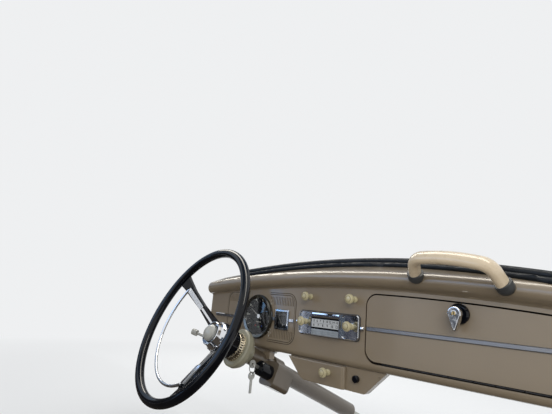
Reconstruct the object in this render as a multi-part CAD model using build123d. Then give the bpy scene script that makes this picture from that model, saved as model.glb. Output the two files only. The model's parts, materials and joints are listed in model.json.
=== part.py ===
from build123d import *
import math
import os

# Dashboard of a classic compact car, with its steering wheel and column.
# Millimetres. X runs to the passenger's side, Y to the front of the car, Z up.
# The pieces are drawn about the trim line: x = 0 in the car's middle, y = 0 on the face of the
# pressing, z = 0 at the trim strips. At the end they move so that the scuttle flange is the origin.

# Pressing
SHEET = 1.5
HALF_WIDTH = 540.0
CROWN_RADIUS = 3840.0
ROLL_RADIUS = 18.0
ROLL_SETBACK = 3.0
ROLL_Z = 105.5
CREASE_RADIUS = 6.0
SHELF_SLOPE = 20.0
SHELF_FRONT_Y = 40.0
SHELF_FLANGE_DEPTH = 26.0
LIP_START_Z = -72.0
LIP_RADIUS = 13.0
LIP_RETURN = 24.0
SEAL_START_Y = 25.0
SEAL_END_Y = 41.0
SEAL_HEIGHT = 15.5
SEAL_LOBE = 8.0
SEAL_CREST = 4.0
SEAL_HALF_LENGTH = 390.0
SEAL_PLAN_RADIUS = 2000.0
SEAL_FOOT_MARGIN = 3.0

# Flanges that fasten the pressing to the body
SCUTTLE_LENGTH = 240.0
SCUTTLE_DEPTH = 22.0
SCUTTLE_THICKNESS = 2.0
SCUTTLE_BOLT_SPACING = 200.0
END_FLANGE_DEPTH = 38.0
END_FLANGE_THICKNESS = 2.0
END_FLANGE_TOP_Z = 50.0
END_FLANGE_FOOT_Z = -72.0
END_BOLT_SPACING = 80.0
END_BOLT_Y = 22.0
BOLT_HOLE_RADIUS = 4.25

# Instruments
SPEEDO_X = -315.0
SPEEDO_Z = -2.5
SPEEDO_CASE_RADIUS = 51.0
SPEEDO_CASE_WALL = 2.0
SPEEDO_CASE_DEPTH = 62.0
SPEEDO_BEZEL_OVERHANG = 7.6
SPEEDO_BEZEL_PROUD = 8.0
SPEEDO_DIAL_Y = 4.0
SPEEDO_DISH_WIDTH = 10.0
SPEEDO_NEEDLE_TAIL = 12.0
DRIVE_RADIUS = 9.0
DRIVE_LENGTH = 14.0
GAUGE_X = -221.0
GAUGE_Z = -3.5
GAUGE_CASE_SIZE = 45.0
GAUGE_CASE_WALL = 2.0
GAUGE_CASE_DEPTH = 36.0
GAUGE_BEZEL_OVERHANG = 3.25
GAUGE_BEZEL_PROUD = 4.0
GAUGE_CORNER = 4.0
GAUGE_DIAL_Y = 2.5
GAUGE_PIVOT_DROP = 12.9
GAUGE_NEEDLE_LENGTH = 26.0
DIAL_THICKNESS = 1.2
NEEDLE_HEIGHT = 0.8
NEEDLE_THICKNESS = 0.8
GLASS_THICKNESS = 2.0
GLASS_Y = -3.0
GLASS_DOME = 1.0
CASE_CLEARANCE = 1.0
SPEED_SHOWN = -120.0
FUEL_SHOWN = 38.0

# Slotted panels beside the speedometer
GRILLE_REACH = 140.0
GRILLE_INNER = 34.0
GRILLE_TOP_Z = 62.0
GRILLE_BOTTOM_Z = -61.0
GRILLE_CORNER = 25.0
BEAD_WIDTH = 2.6
BEAD_PROUD = 1.0
SLOT_WIDTH = 2.4
SLOT_HEIGHT = 21.0
SLOT_PITCH = 6.0
SLOTS_PER_ROW = 15
SLOT_EDGE = 9.0
BEZEL_MARGIN = 4.0
BOARD_INSET = 4.0
BOARD_THICKNESS = 1.5

# Radio
RADIO_X = -67.5
RADIO_Z = -1.8
RADIO_SIDE_OVERHANG = 5.5
RADIO_TOP_OVERHANG = 5.3
RADIO_CORNER = 8.0
RADIO_GASKET = 1.5
RADIO_GASKET_MARGIN = 1.2
RADIO_PROUD = 6.5
RADIO_CENTRE_WIDTH = 85.0
RADIO_CENTRE_PROUD = 13.5
RADIO_CHEEK = 2.4
RADIO_GROOVE_Y = -8.0
RADIO_POCKET_DEPTH = 3.0
RADIO_POCKET_RIM = 2.2
RADIO_SCALE_Y = -10.0
RADIO_SCALE_THICKNESS = 1.8
RADIO_SCALE_TOP = 10.5
RADIO_SCALE_FOOT = -8.0
RADIO_BAR_FOOT = 14.5
RADIO_KEYS_TOP = -12.5
RADIO_BODY_WIDTH = 166.0
RADIO_BODY_HEIGHT = 44.0
RADIO_BODY_DEPTH = 150.0
RADIO_KNOB_SPACING = 136.0
RADIO_KNOB_RAISE = 2.0

# Knobs
KNOB_HEAD_RADIUS = 11.0
KNOB_HEAD_THICKNESS = 9.0
KNOB_PROUD = 27.0
KNOB_DOME = 3.5
KNOB_NECK_RADIUS = 4.2
KNOB_FOOT_RADIUS = 7.0
SWITCH_KNOB_XS = (-126.6, 4.5)
SWITCH_KNOB_Z = 58.8
LOWER_KNOB_X = 10.0
LOWER_KNOB_Z = -107.0
LOWER_KNOB_RADIUS = 7.5
LOWER_KNOB_PROUD = 9.0

# Trim strips
TRIM_HEIGHT = 8.4
TRIM_PROUD = 3.2
LEFT_TRIM_START_X = -508.0
LEFT_TRIM_END_X = -382.0
LEFT_TRIM_Z = -10.0
LINK_TRIM_PROUD = 6.0
TRIM_GAP = 0.4
TRIM_GROOVE = 0.8
STUD_RADIUS = 5.0
STUD_PROUD = 8.0

# Glovebox
LID_LEFT_X = 37.0
LID_RIGHT_X = 436.0
LID_TOP_Z = 71.5
LID_BOTTOM_Z = -64.4
LID_CORNER = 24.0
LID_GAP = 3.0
LID_HINGE_GAP = 5.0
LID_FLANGE = 12.0
HINGE_Y = 1.2
HINGE_PIN_RADIUS = 1.2
HINGE_EYE_RADIUS = 2.1
HINGE_CLEARANCE = 0.15
HINGE_EYE_LENGTH = 34.0
HINGE_EYE_COUNT = 4
HINGE_LEAF_DEPTH = 16.0
HINGE_LEAF_THICKNESS = 0.8
HINGE_LID_LEAF_DEPTH = 9.8
HINGE_KNUCKLE_GAP = 4.0
HINGE_END_INSET = 16.0
LINER_WALL = 2.0
LINER_DEPTH = 190.0
LOCK_Z = 45.4
LOCK_BASE_RADIUS = 18.5
LOCK_BASE_PROUD = 8.0
LOCK_NECK_RADIUS = 9.0
LOCK_HEAD_RADIUS = 12.5
LOCK_TIP_RADIUS = 3.5
LOCK_TIP_DROP = 27.5
LOCK_HANDLE_Y = -15.0
LOCK_HANDLE_THICKNESS = 10.0
LOCK_ROUNDING = 2.5

# Lower panel with the ashtray
PANEL_LEFT_X = -190.0
PANEL_FOOT_LEFT_X = -140.5
PANEL_RIGHT_X = 83.0
PANEL_FOOT_RIGHT_X = 31.0
PANEL_Y = 10.0
PANEL_HEIGHT = 49.0
PANEL_DEPTH = 16.0
PANEL_LEFT_CORNER = 26.0
PANEL_RIGHT_CORNER = 8.0
TRAY_X = -60.0
TRAY_Z = -111.0
TRAY_WIDTH = 65.0
TRAY_HEIGHT = 33.0
TRAY_DEPTH = 60.0
TRAY_WALL = 1.2
TRAY_CLEARANCE = 0.5
FRONT_Y = -1.0
FRONT_RIGHT_X = -17.5
FRONT_TOP_GAP = 1.5
FRONT_EDGE_RADIUS = 2.5
FRONT_SIDE_RADIUS = 8.0
TRAY_KNOB_Z = -104.6
TRAY_KNOB_PROUD = 25.0

# Grab handle: its path in the plane of the bar, from the foot of one leg to the other
HANDLE_X = 242.6
HANDLE_FOOT_ANGLE = 76.0
HANDLE_FOOT_DISTANCE = 21.6
HANDLE_LEAN = 45.7
HANDLE_TILT = 5.7
HANDLE_FOOT_REACH = 80.2
HANDLE_SHOULDER_REACH = 69.5
HANDLE_SHOULDER_RISE = 43.6
HANDLE_CROWN_RISE = 56.0
HANDLE_SHOULDER_RADIUS = 26.0
HANDLE_CROWN_RADIUS = 300.0
HANDLE_BAR_DEPTH = 29.0
HANDLE_BAR_HEIGHT = 21.0
HANDLE_LIFT = 3.0
SOCKET_RADIUS = 15.2
SOCKET_RIM = 8.0
SOCKET_DEPTH = 14.0
SOCKET_ROUNDING = 12.0

# Steering column: the rim's centre and the way to the driver
RIM_X = -319.9
RIM_Y = -211.1
RIM_Z = -24.1
COLUMN_TILT = 22.7
COLUMN_YAW = 3.8
TUBE_RADIUS = 23.0
TUBE_WALL = 1.8
TUBE_START = 183.0
TUBE_END = 640.0
SHAFT_RADIUS = 9.25
SHAFT_START = 91.0
SHAFT_END = 705.0
JOURNAL_RADIUS = 8.0
JOURNAL_LENGTH = 50.0
BUSH_LENGTH = 20.0
RUNNING_CLEARANCE = 0.08
COLLAR_START = 151.0
COLLAR_END = 183.0
COLLAR_RADIUS = 50.0
COLLAR_TAIL_RADIUS = 36.0
COLLAR_SLEEVE = 12.0
COLLAR_OPENING_RADIUS = 37.0
COLLAR_OPENING_DEPTH = 7.0
COLLAR_RING_START = 138.0
COLLAR_RING_BORE = 30.0
COLLAR_RING_FRONT_RADIUS = 33.0
COLLAR_RING_REAR_RADIUS = 36.7
FLUTE_COUNT = 36
FLUTE_RADIUS = 2.2
FLUTE_DEPTH = 1.0
STALK_START = 164.0
STALK_REACH = 152.0
STALK_END = 112.0
STALK_RADIUS = 3.5
STALK_KNOB_RADIUS = 8.5
LOCK_HOUSING_START = 250.0
LOCK_HOUSING_END = 318.0
LOCK_HOUSING_U = 42.0
LOCK_HOUSING_W = -22.0
LOCK_HOUSING_WIDTH = 56.0
LOCK_HOUSING_HEIGHT = 62.0
CLAMP_WALL = 6.0
BARREL_RADIUS = 18.5
BARREL_START = 212.0
KEY_THICKNESS = 2.0
KEY_BOW_RADIUS = 10.0
KEY_STAND_OFF = 12.0
KEY_HOLE_RADIUS = 2.8
KEY_RING_RADIUS = 10.0
KEY_WIRE_RADIUS = 1.0
KEY_CLEARANCE = 0.3
SADDLE_WIDTH = 60.0
SADDLE_DEPTH = 18.0
SADDLE_Y = 24.0
SADDLE_GRIP = 14.0
SADDLE_PLATE_WIDTH = 100.0
SADDLE_PLATE_THICKNESS = 3.0

# Steering wheel
RIM_RADIUS = 189.0
RIM_TUBE_RADIUS = 11.0
WHEEL_TURNED = -51.5
SPOKE_DROOP = 14.0
SPOKE_WIDTH = 24.0
SPOKE_END_WIDTH = 40.0
SPOKE_THICKNESS = 9.0
SPOKE_ROOT_RADIUS = 24.0
SPOKE_ROOT_DEPTH = 94.0
SPOKE_RING_DEPTH = 19.0
BOSS_START = 86.0
BOSS_FRONT_RADIUS = 37.0
BOSS_RADIUS = 40.0
BOSS_END_RADIUS = 38.0
BOSS_END = 99.0
SHROUD_END = 133.0
SHROUD_RADIUS = 36.0
SHROUD_WALL = 3.0
HORN_RING_RADIUS = 146.0
HORN_RING_DEPTH = 15.0
HORN_WIRE_RADIUS = 3.6
HORN_PAD_INNER = 88.0
HORN_PAD_WIDTH = 13.0
HORN_PAD_THICKNESS = 5.0
HORN_STRIP_WIDTH = 6.0
HORN_STRIP_THICKNESS = 3.0
HORN_LIFT = 0.4
HORN_CUP_RADIUS = 30.0
HORN_CUP_START = 64.0
HORN_CUP_FLOOR = 70.0
HORN_CUP_WALL = 1.7
HORN_BUTTON_RADIUS = 20.5
HORN_BUTTON_START = 60.0
HORN_BUTTON_RISE = 11.0

# Places that follow from the sizes above
SPEEDO_BEZEL_RADIUS = SPEEDO_CASE_RADIUS + SPEEDO_BEZEL_OVERHANG
SPEEDO_WINDOW_RADIUS = SPEEDO_CASE_RADIUS - SPEEDO_CASE_WALL
GAUGE_SIZE = GAUGE_CASE_SIZE + 2 * GAUGE_BEZEL_OVERHANG
RADIO_WIDTH = RADIO_BODY_WIDTH + 2 * RADIO_SIDE_OVERHANG
RADIO_HEIGHT = RADIO_BODY_HEIGHT + 2 * RADIO_TOP_OVERHANG
GAUGE_WINDOW = GAUGE_CASE_SIZE - 2 * GAUGE_CASE_WALL
CREASE_Z = ROLL_Z - math.sqrt((ROLL_RADIUS + CREASE_RADIUS) ** 2 - (CREASE_RADIUS - ROLL_SETBACK) ** 2)
CROWN_CENTRE_Z = CREASE_Z - CROWN_RADIUS
SLOPE = math.radians(SHELF_SLOPE)
SHELF_FRONT_Z = (ROLL_Z + ROLL_RADIUS * math.cos(SLOPE)
                 + (SHELF_FRONT_Y + ROLL_SETBACK + ROLL_RADIUS * math.sin(SLOPE)) * math.tan(SLOPE))
SCUTTLE_TOP_Z = SHELF_FRONT_Z + SCUTTLE_THICKNESS
SCUTTLE_Y = SHELF_FRONT_Y + SHELF_FLANGE_DEPTH / 2
LIP_BOTTOM_Z = LIP_START_Z - LIP_RADIUS
HINGE_Z = LID_BOTTOM_Z - LID_HINGE_GAP / 2
PANEL_TOP_Z = LIP_BOTTOM_Z
PANEL_FOOT_Z = PANEL_TOP_Z - PANEL_HEIGHT
LID_X = (LID_LEFT_X + LID_RIGHT_X) / 2

TILT = math.radians(COLUMN_TILT)
YAW = math.radians(COLUMN_YAW)
TO_DRIVER = Vector(-math.sin(YAW), -math.cos(YAW) * math.cos(TILT), math.cos(YAW) * math.sin(TILT))
ACROSS = Vector(0, 0, 1).cross(TO_DRIVER).normalized()
COLUMN = Plane(origin=(RIM_X, RIM_Y, RIM_Z), x_dir=ACROSS, z_dir=TO_DRIVER).location
WHEEL = COLUMN * Rot(0, 0, WHEEL_TURNED)
SPOKE_FALL = (SPOKE_ROOT_DEPTH - SPOKE_RING_DEPTH) / (HORN_RING_RADIUS - SPOKE_ROOT_RADIUS)

PIECES = {}


def slab(outline, rear, front):
    """A flat outline in x and z, solid from y = rear to y = front."""
    return Pos(0, front, 0) * extrude(Plane.XZ * outline, amount=front - rear)


def turned(points, x=0.0, z=0.0):
    """A piece turned about an axis along Y, from corners given as radius and y."""
    face = make_face(Polyline(*points, close=True))
    return Pos(x, 0, z) * revolve(face, Axis.Y)


def column_turned(points):
    """A piece turned about the column, from corners given as radius and depth below the rim."""
    face = make_face(Polyline(*[(radius, -depth) for radius, depth in points], close=True))
    return revolve(Plane.XZ * face, Axis.Z)


def column_rod(radius, start, end, u=0.0, w=0.0):
    """A round bar along the column between two depths below the rim."""
    return Pos(u, w, -(start + end) / 2) * Cylinder(radius, end - start)


def crown_drop(x, radius):
    """How far an arc of the crown lies lower at x than in the middle."""
    return radius - math.sqrt(radius ** 2 - x ** 2)


def arc_at(height, x):
    """A point at x on the crown's arc that passes the middle at this height."""
    radius = height - CROWN_CENTRE_Z
    return (x, height - crown_drop(x, radius))


def brow_edges(inset):
    """Skin of the brow and shelf in y and z, as arcs and lines, inset from its outer face."""
    crease = (-CREASE_RADIUS, CREASE_Z)
    roll = (-ROLL_SETBACK, ROLL_Z)
    lean = math.degrees(math.atan2(ROLL_Z - CREASE_Z, CREASE_RADIUS - ROLL_SETBACK))
    radius = ROLL_RADIUS - inset
    top = (roll[0] - radius * math.sin(SLOPE), roll[1] + radius * math.cos(SLOPE))
    front = (SHELF_FRONT_Y + inset * math.tan(SLOPE / 2), SHELF_FRONT_Z - inset)
    end = (SHELF_FRONT_Y + SHELF_FLANGE_DEPTH, SHELF_FRONT_Z - inset)
    edges = [
        CenterArc(crease, CREASE_RADIUS + inset, 0, lean),
        CenterArc(roll, radius, lean + 180, SHELF_SLOPE - 90 - lean),
        Line(top, front),
        Line(front, end),
    ]
    return edges, (inset, CREASE_Z), end


def crowned_band(face):
    """A section in y and z carried along the crown's arc and cut at both ends of the pressing."""
    axis = Axis((0, 0, CROWN_CENTRE_Z), (0, 1, 0))
    half_angle = math.degrees(math.asin(HALF_WIDTH / CROWN_RADIUS)) + 0.5
    band = revolve(Plane.YZ * face, axis, 2 * half_angle)
    band = band.rotate(axis, -half_angle)
    return band & Box(2 * HALF_WIDTH, 4 * SHELF_FRONT_Y, 4 * SHELF_FRONT_Z)


def brow():
    outer, outer_start, outer_end = brow_edges(0)
    inner, inner_start, inner_end = brow_edges(SHEET)
    edges = outer + inner + [Line(outer_start, inner_start), Line(outer_end, inner_end)]
    return crowned_band(make_face(edges))


def shelf_seal():
    """Rubber seal with two rounded lobes that bends across the shelf, its foot cut to the shelf's skin."""
    on_slope = SHELF_FRONT_Z - (SHELF_FRONT_Y - SEAL_START_Y) * math.tan(SLOPE)
    foot = on_slope - SEAL_FOOT_MARGIN
    top = SHELF_FRONT_Z + SEAL_HEIGHT
    lobe_foot = (SEAL_START_Y, on_slope)
    crest = (SEAL_END_Y, top - SEAL_CREST)
    waist = (SEAL_START_Y + SEAL_LOBE / 3, on_slope + SEAL_LOBE + SEAL_LOBE / 3)
    section = make_face([
        Line((SEAL_START_Y, foot), (SEAL_END_Y, foot)),
        Line((SEAL_END_Y, foot), crest),
        ThreePointArc(crest, ((waist[0] + SEAL_END_Y) / 2, top), waist),
        ThreePointArc(waist, (SEAL_START_Y - SEAL_LOBE / 4, on_slope + SEAL_LOBE / 2), lobe_foot),
        Line(lobe_foot, (SEAL_START_Y, foot)),
    ])
    back = 1 / SEAL_PLAN_RADIUS
    down = back * math.tan(SLOPE) + 1 / (SHELF_FRONT_Z - CROWN_CENTRE_Z)
    bend = math.hypot(back, down)
    axis = Axis((0, SEAL_START_Y - back / bend ** 2, on_slope - down / bend ** 2), (0, down, -back))
    half_angle = math.degrees(math.asin(SEAL_HALF_LENGTH * bend))
    band = revolve(Plane.YZ * section, axis, 2 * half_angle).rotate(axis, -half_angle)
    outer, start, end = brow_edges(0)
    corner = (end[0], CREASE_Z)
    shelf = crowned_band(make_face(outer + [Line(end, corner), Line(corner, start)]))
    return (band - shelf).solids().sort_by(SortBy.VOLUME)[-1]


def lip():
    centre = (LIP_RADIUS, LIP_START_Z)
    end_y = LIP_RADIUS + LIP_RETURN
    edges = [Line((0, LIP_START_Z), (SHEET, LIP_START_Z)),
             Line((end_y, LIP_BOTTOM_Z), (end_y, LIP_BOTTOM_Z + SHEET))]
    for inset in (0, SHEET):
        edges.append(CenterArc(centre, LIP_RADIUS - inset, 180, 90))
        edges.append(Line((LIP_RADIUS, LIP_BOTTOM_Z + inset), (end_y, LIP_BOTTOM_Z + inset)))
    return Pos(-HALF_WIDTH, 0, 0) * extrude(Plane.YZ * make_face(edges), amount=2 * HALF_WIDTH)


def crowned_outline(left, right, bottom, top, corner):
    """An outline with a straight foot and a crowned top edge, its corners rounded."""
    middle = (left + right) / 2
    sketch = make_face([
        Line((left, bottom), (right, bottom)),
        Line((right, bottom), arc_at(top, right)),
        ThreePointArc(arc_at(top, right), arc_at(top, middle), arc_at(top, left)),
        Line(arc_at(top, left), (left, bottom)),
    ])
    if corner > 0:
        sketch = fillet(sketch.vertices(), corner)
    return sketch


def lid_outline(grow=0.0, foot=0.0):
    return crowned_outline(LID_LEFT_X - grow, LID_RIGHT_X + grow, LID_BOTTOM_Z - foot,
                           LID_TOP_Z + grow, LID_CORNER + grow)


def grille_outline(side, inset=0.0):
    """The D-shaped field beside the speedometer, side -1 left and 1 right."""
    inner = SPEEDO_X + side * (GRILLE_INNER + inset)
    outer = SPEEDO_X + side * (GRILLE_REACH - inset)
    top = GRILLE_TOP_Z - inset
    bottom = GRILLE_BOTTOM_Z + inset
    width = abs(outer - inner)
    field = Pos((inner + outer) / 2, (top + bottom) / 2) * Rectangle(width, top - bottom)
    corners = [v for v in field.vertices() if abs(v.X - outer) < 0.01]
    field = fillet(corners, GRILLE_CORNER - inset)
    return field - Pos(SPEEDO_X, SPEEDO_Z) * Circle(SPEEDO_BEZEL_RADIUS + BEZEL_MARGIN + inset)


def grille_slots(side):
    """Two rows of upright slots, one above and one below the middle of the field."""
    slots = []
    first = GRILLE_REACH - SLOT_EDGE
    rows = [GRILLE_TOP_Z - SLOT_EDGE - SLOT_HEIGHT / 2, GRILLE_BOTTOM_Z + SLOT_EDGE + SLOT_HEIGHT / 2]
    for row in rows:
        for index in range(SLOTS_PER_ROW):
            x = SPEEDO_X + side * (first - index * SLOT_PITCH)
            slots.append(Pos(x, row) * Rectangle(SLOT_WIDTH, SLOT_HEIGHT))
    return Sketch() + slots


def dash_panel():
    plate = slab(crowned_outline(-HALF_WIDTH, HALF_WIDTH, LIP_START_Z, CREASE_Z, 0), 0, SHEET)
    panel = plate + brow() + lip()
    for side in (-1, 1):
        bead = grille_outline(side) - grille_outline(side, BEAD_WIDTH)
        panel += slab(bead, -BEAD_PROUD, 0)
    cuts = [
        Pos(SPEEDO_X, SPEEDO_Z) * Circle(SPEEDO_CASE_RADIUS + CASE_CLEARANCE),
        Pos(GAUGE_X, GAUGE_Z) * Rectangle(GAUGE_CASE_SIZE + 2 * CASE_CLEARANCE,
                                          GAUGE_CASE_SIZE + 2 * CASE_CLEARANCE),
        Pos(RADIO_X, RADIO_Z) * Rectangle(RADIO_BODY_WIDTH + 2 * CASE_CLEARANCE,
                                          RADIO_BODY_HEIGHT + 2 * CASE_CLEARANCE),
        lid_outline(LID_GAP, LID_HINGE_GAP),
        grille_slots(-1),
        grille_slots(1),
    ]
    for cut in cuts:
        panel -= slab(cut, -5, SHEET + 5)
    for x in (-1, 1):
        panel -= Pos(x * SCUTTLE_BOLT_SPACING / 2, SCUTTLE_Y, SHELF_FRONT_Z) * Cylinder(BOLT_HOLE_RADIUS, 20)
    return panel


def scuttle_flange():
    """Flat pad for the scuttle, its foot hollowed to the crowned flange of the shelf."""
    drop = crown_drop(SCUTTLE_LENGTH / 2, SHELF_FRONT_Z - CROWN_CENTRE_Z)
    height = SCUTTLE_THICKNESS + drop
    pad = Pos(0, SCUTTLE_Y, SCUTTLE_TOP_Z - height / 2) * Box(SCUTTLE_LENGTH, SCUTTLE_DEPTH, height)
    crown = Pos(0, SCUTTLE_Y, CROWN_CENTRE_Z) * Rot(90, 0, 0)
    pad -= crown * Cylinder(SHELF_FRONT_Z - CROWN_CENTRE_Z, 2 * SCUTTLE_DEPTH)
    for x in (-1, 1):
        hole = Pos(x * SCUTTLE_BOLT_SPACING / 2, SCUTTLE_Y, SCUTTLE_TOP_Z)
        pad -= hole * Cylinder(BOLT_HOLE_RADIUS, 4 * height)
    return pad


def end_flanges():
    """Upright plates at both ends of the pressing, each with two bolt holes."""
    height = END_FLANGE_TOP_Z - END_FLANGE_FOOT_Z
    middle = (END_FLANGE_TOP_Z + END_FLANGE_FOOT_Z) / 2
    solids = []
    for side in (-1, 1):
        x = side * (HALF_WIDTH - END_FLANGE_THICKNESS / 2)
        plate = Pos(x, SHEET + END_FLANGE_DEPTH / 2, middle)
        plate *= Box(END_FLANGE_THICKNESS, END_FLANGE_DEPTH, height)
        for up in (-1, 1):
            hole = Pos(x, END_BOLT_Y, middle + up * END_BOLT_SPACING / 2) * Rot(0, 90, 0)
            plate -= hole * Cylinder(BOLT_HOLE_RADIUS, 20)
        solids.append(plate)
    return solids


def grille_boards():
    """Dark boards behind the slotted fields, with room for the cases of the instruments."""
    boards = []
    gauge_room = GAUGE_CASE_SIZE + 2 * CASE_CLEARANCE
    for side in (-1, 1):
        outline = grille_outline(side, BOARD_INSET)
        outline -= Pos(GAUGE_X, GAUGE_Z) * Rectangle(gauge_room, gauge_room)
        boards.append(slab(outline, SHEET, SHEET + BOARD_THICKNESS))
    return boards


def needle(tail, length, root, angle, dial_y):
    """A tapered hand on a low hub, pointing up and then turned by the angle."""
    blade = make_face(Polyline((-tail, -root), (length, -0.3 * root), (length, 0.3 * root), (-tail, root),
                               close=True))
    front = dial_y - NEEDLE_HEIGHT - NEEDLE_THICKNESS
    hand = slab(Rot(0, 0, angle + 90) * blade, front, front + NEEDLE_THICKNESS)
    return hand + slab(Circle(2.5 * root), front - NEEDLE_THICKNESS, dial_y)


def speedometer():
    window = SPEEDO_WINDOW_RADIUS
    flat = window - SPEEDO_DISH_WIDTH
    back = SPEEDO_DIAL_Y + DIAL_THICKNESS
    rear = SPEEDO_CASE_DEPTH
    rim = SPEEDO_BEZEL_RADIUS
    dish = [(0, back), (flat, back), (window, 0)]
    dial = dish + [(window, -DIAL_THICKNESS), (flat, SPEEDO_DIAL_Y), (0, SPEEDO_DIAL_Y)]
    case = dish + [(SPEEDO_CASE_RADIUS, 0), (SPEEDO_CASE_RADIUS, rear - 6), (SPEEDO_CASE_RADIUS - 6, rear),
                   (DRIVE_RADIUS, rear), (DRIVE_RADIUS, rear + DRIVE_LENGTH), (0, rear + DRIVE_LENGTH)]
    bezel = [(rim, 0), (rim, -3), (rim - 1.2, -6), (rim - 3.6, -SPEEDO_BEZEL_PROUD), (window, -5),
             (window, GLASS_Y), (window + 1, 0)]
    glass = [(0, GLASS_Y - GLASS_THICKNESS), (window, GLASS_Y - GLASS_THICKNESS + GLASS_DOME),
             (window, GLASS_Y + GLASS_DOME), (0, GLASS_Y)]
    PIECES["speedometer_case"] = turned(case, SPEEDO_X, SPEEDO_Z)
    PIECES["speedometer_bezel"] = turned(bezel, SPEEDO_X, SPEEDO_Z)
    PIECES["speedometer_dial"] = turned(dial, SPEEDO_X, SPEEDO_Z)
    PIECES["speedometer_glass"] = turned(glass, SPEEDO_X, SPEEDO_Z)
    hand = needle(SPEEDO_NEEDLE_TAIL, flat - 1, 2.0, SPEED_SHOWN - 180, SPEEDO_DIAL_Y)
    PIECES["speedometer_needle"] = Pos(SPEEDO_X, 0, SPEEDO_Z) * hand


def fuel_gauge():
    place = Pos(GAUGE_X, GAUGE_Z)
    window = place * Rectangle(GAUGE_WINDOW, GAUGE_WINDOW)
    dial_back = GAUGE_DIAL_Y + DIAL_THICKNESS
    case = slab(place * Rectangle(GAUGE_CASE_SIZE, GAUGE_CASE_SIZE), 0, GAUGE_CASE_DEPTH)
    case -= slab(window, -1, dial_back)
    bezel = slab(place * RectangleRounded(GAUGE_SIZE, GAUGE_SIZE, GAUGE_CORNER), -GAUGE_BEZEL_PROUD, 0)
    bezel = chamfer(bezel.faces().sort_by(Axis.Y)[0].edges(), 1.5)
    bezel -= slab(window, -GAUGE_BEZEL_PROUD - 1, 1)
    hand = needle(0, GAUGE_NEEDLE_LENGTH, 1.3, FUEL_SHOWN, GAUGE_DIAL_Y)
    PIECES["fuel_gauge_case"] = case
    PIECES["fuel_gauge_bezel"] = bezel
    PIECES["fuel_gauge_dial"] = slab(window, GAUGE_DIAL_Y, dial_back)
    PIECES["fuel_gauge_glass"] = slab(window, GLASS_Y, GLASS_Y + GLASS_THICKNESS)
    PIECES["fuel_gauge_needle"] = Pos(GAUGE_X, 0, GAUGE_Z - GAUGE_PIVOT_DROP) * hand


def dome(rim, rise, rim_y):
    """An arc in radius and y from a rim to the axis, its centre on the axis, bulging to -Y."""
    radius = (rim ** 2 + rise ** 2) / (2 * rise)
    opening = math.degrees(math.asin(rim / radius))
    return CenterArc((0, rim_y - rise + radius), radius, -90, opening)


def knob(proud):
    """A mushroom knob along -Y from its foot on the face, with a neck that flares to both ends."""
    head = -proud
    back = head + KNOB_HEAD_THICKNESS
    edges = [
        Line((0, 0), (KNOB_FOOT_RADIUS, 0)),
        Line((KNOB_FOOT_RADIUS, 0), (KNOB_FOOT_RADIUS, -3)),
        Line((KNOB_FOOT_RADIUS, -3), (KNOB_NECK_RADIUS, -5)),
        Line((KNOB_NECK_RADIUS, -5), (KNOB_NECK_RADIUS + 1.5, back)),
        Line((KNOB_NECK_RADIUS + 1.5, back), (KNOB_HEAD_RADIUS - 2, back)),
        Line((KNOB_HEAD_RADIUS - 2, back), (KNOB_HEAD_RADIUS, back - 2.5)),
        Line((KNOB_HEAD_RADIUS, back - 2.5), (KNOB_HEAD_RADIUS - 1, head + KNOB_DOME)),
        dome(KNOB_HEAD_RADIUS - 1, KNOB_DOME, head + KNOB_DOME),
        Line((0, head), (0, 0)),
    ]
    return revolve(make_face(edges), Axis.Y)


def radio_section(points, width):
    """A profile given as y and z about the radio's axis, run across a width of its face."""
    face = Plane.YZ * make_face(Polyline(*points, close=True))
    return Pos(RADIO_X - width / 2, 0, RADIO_Z) * extrude(face, amount=width)


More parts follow.
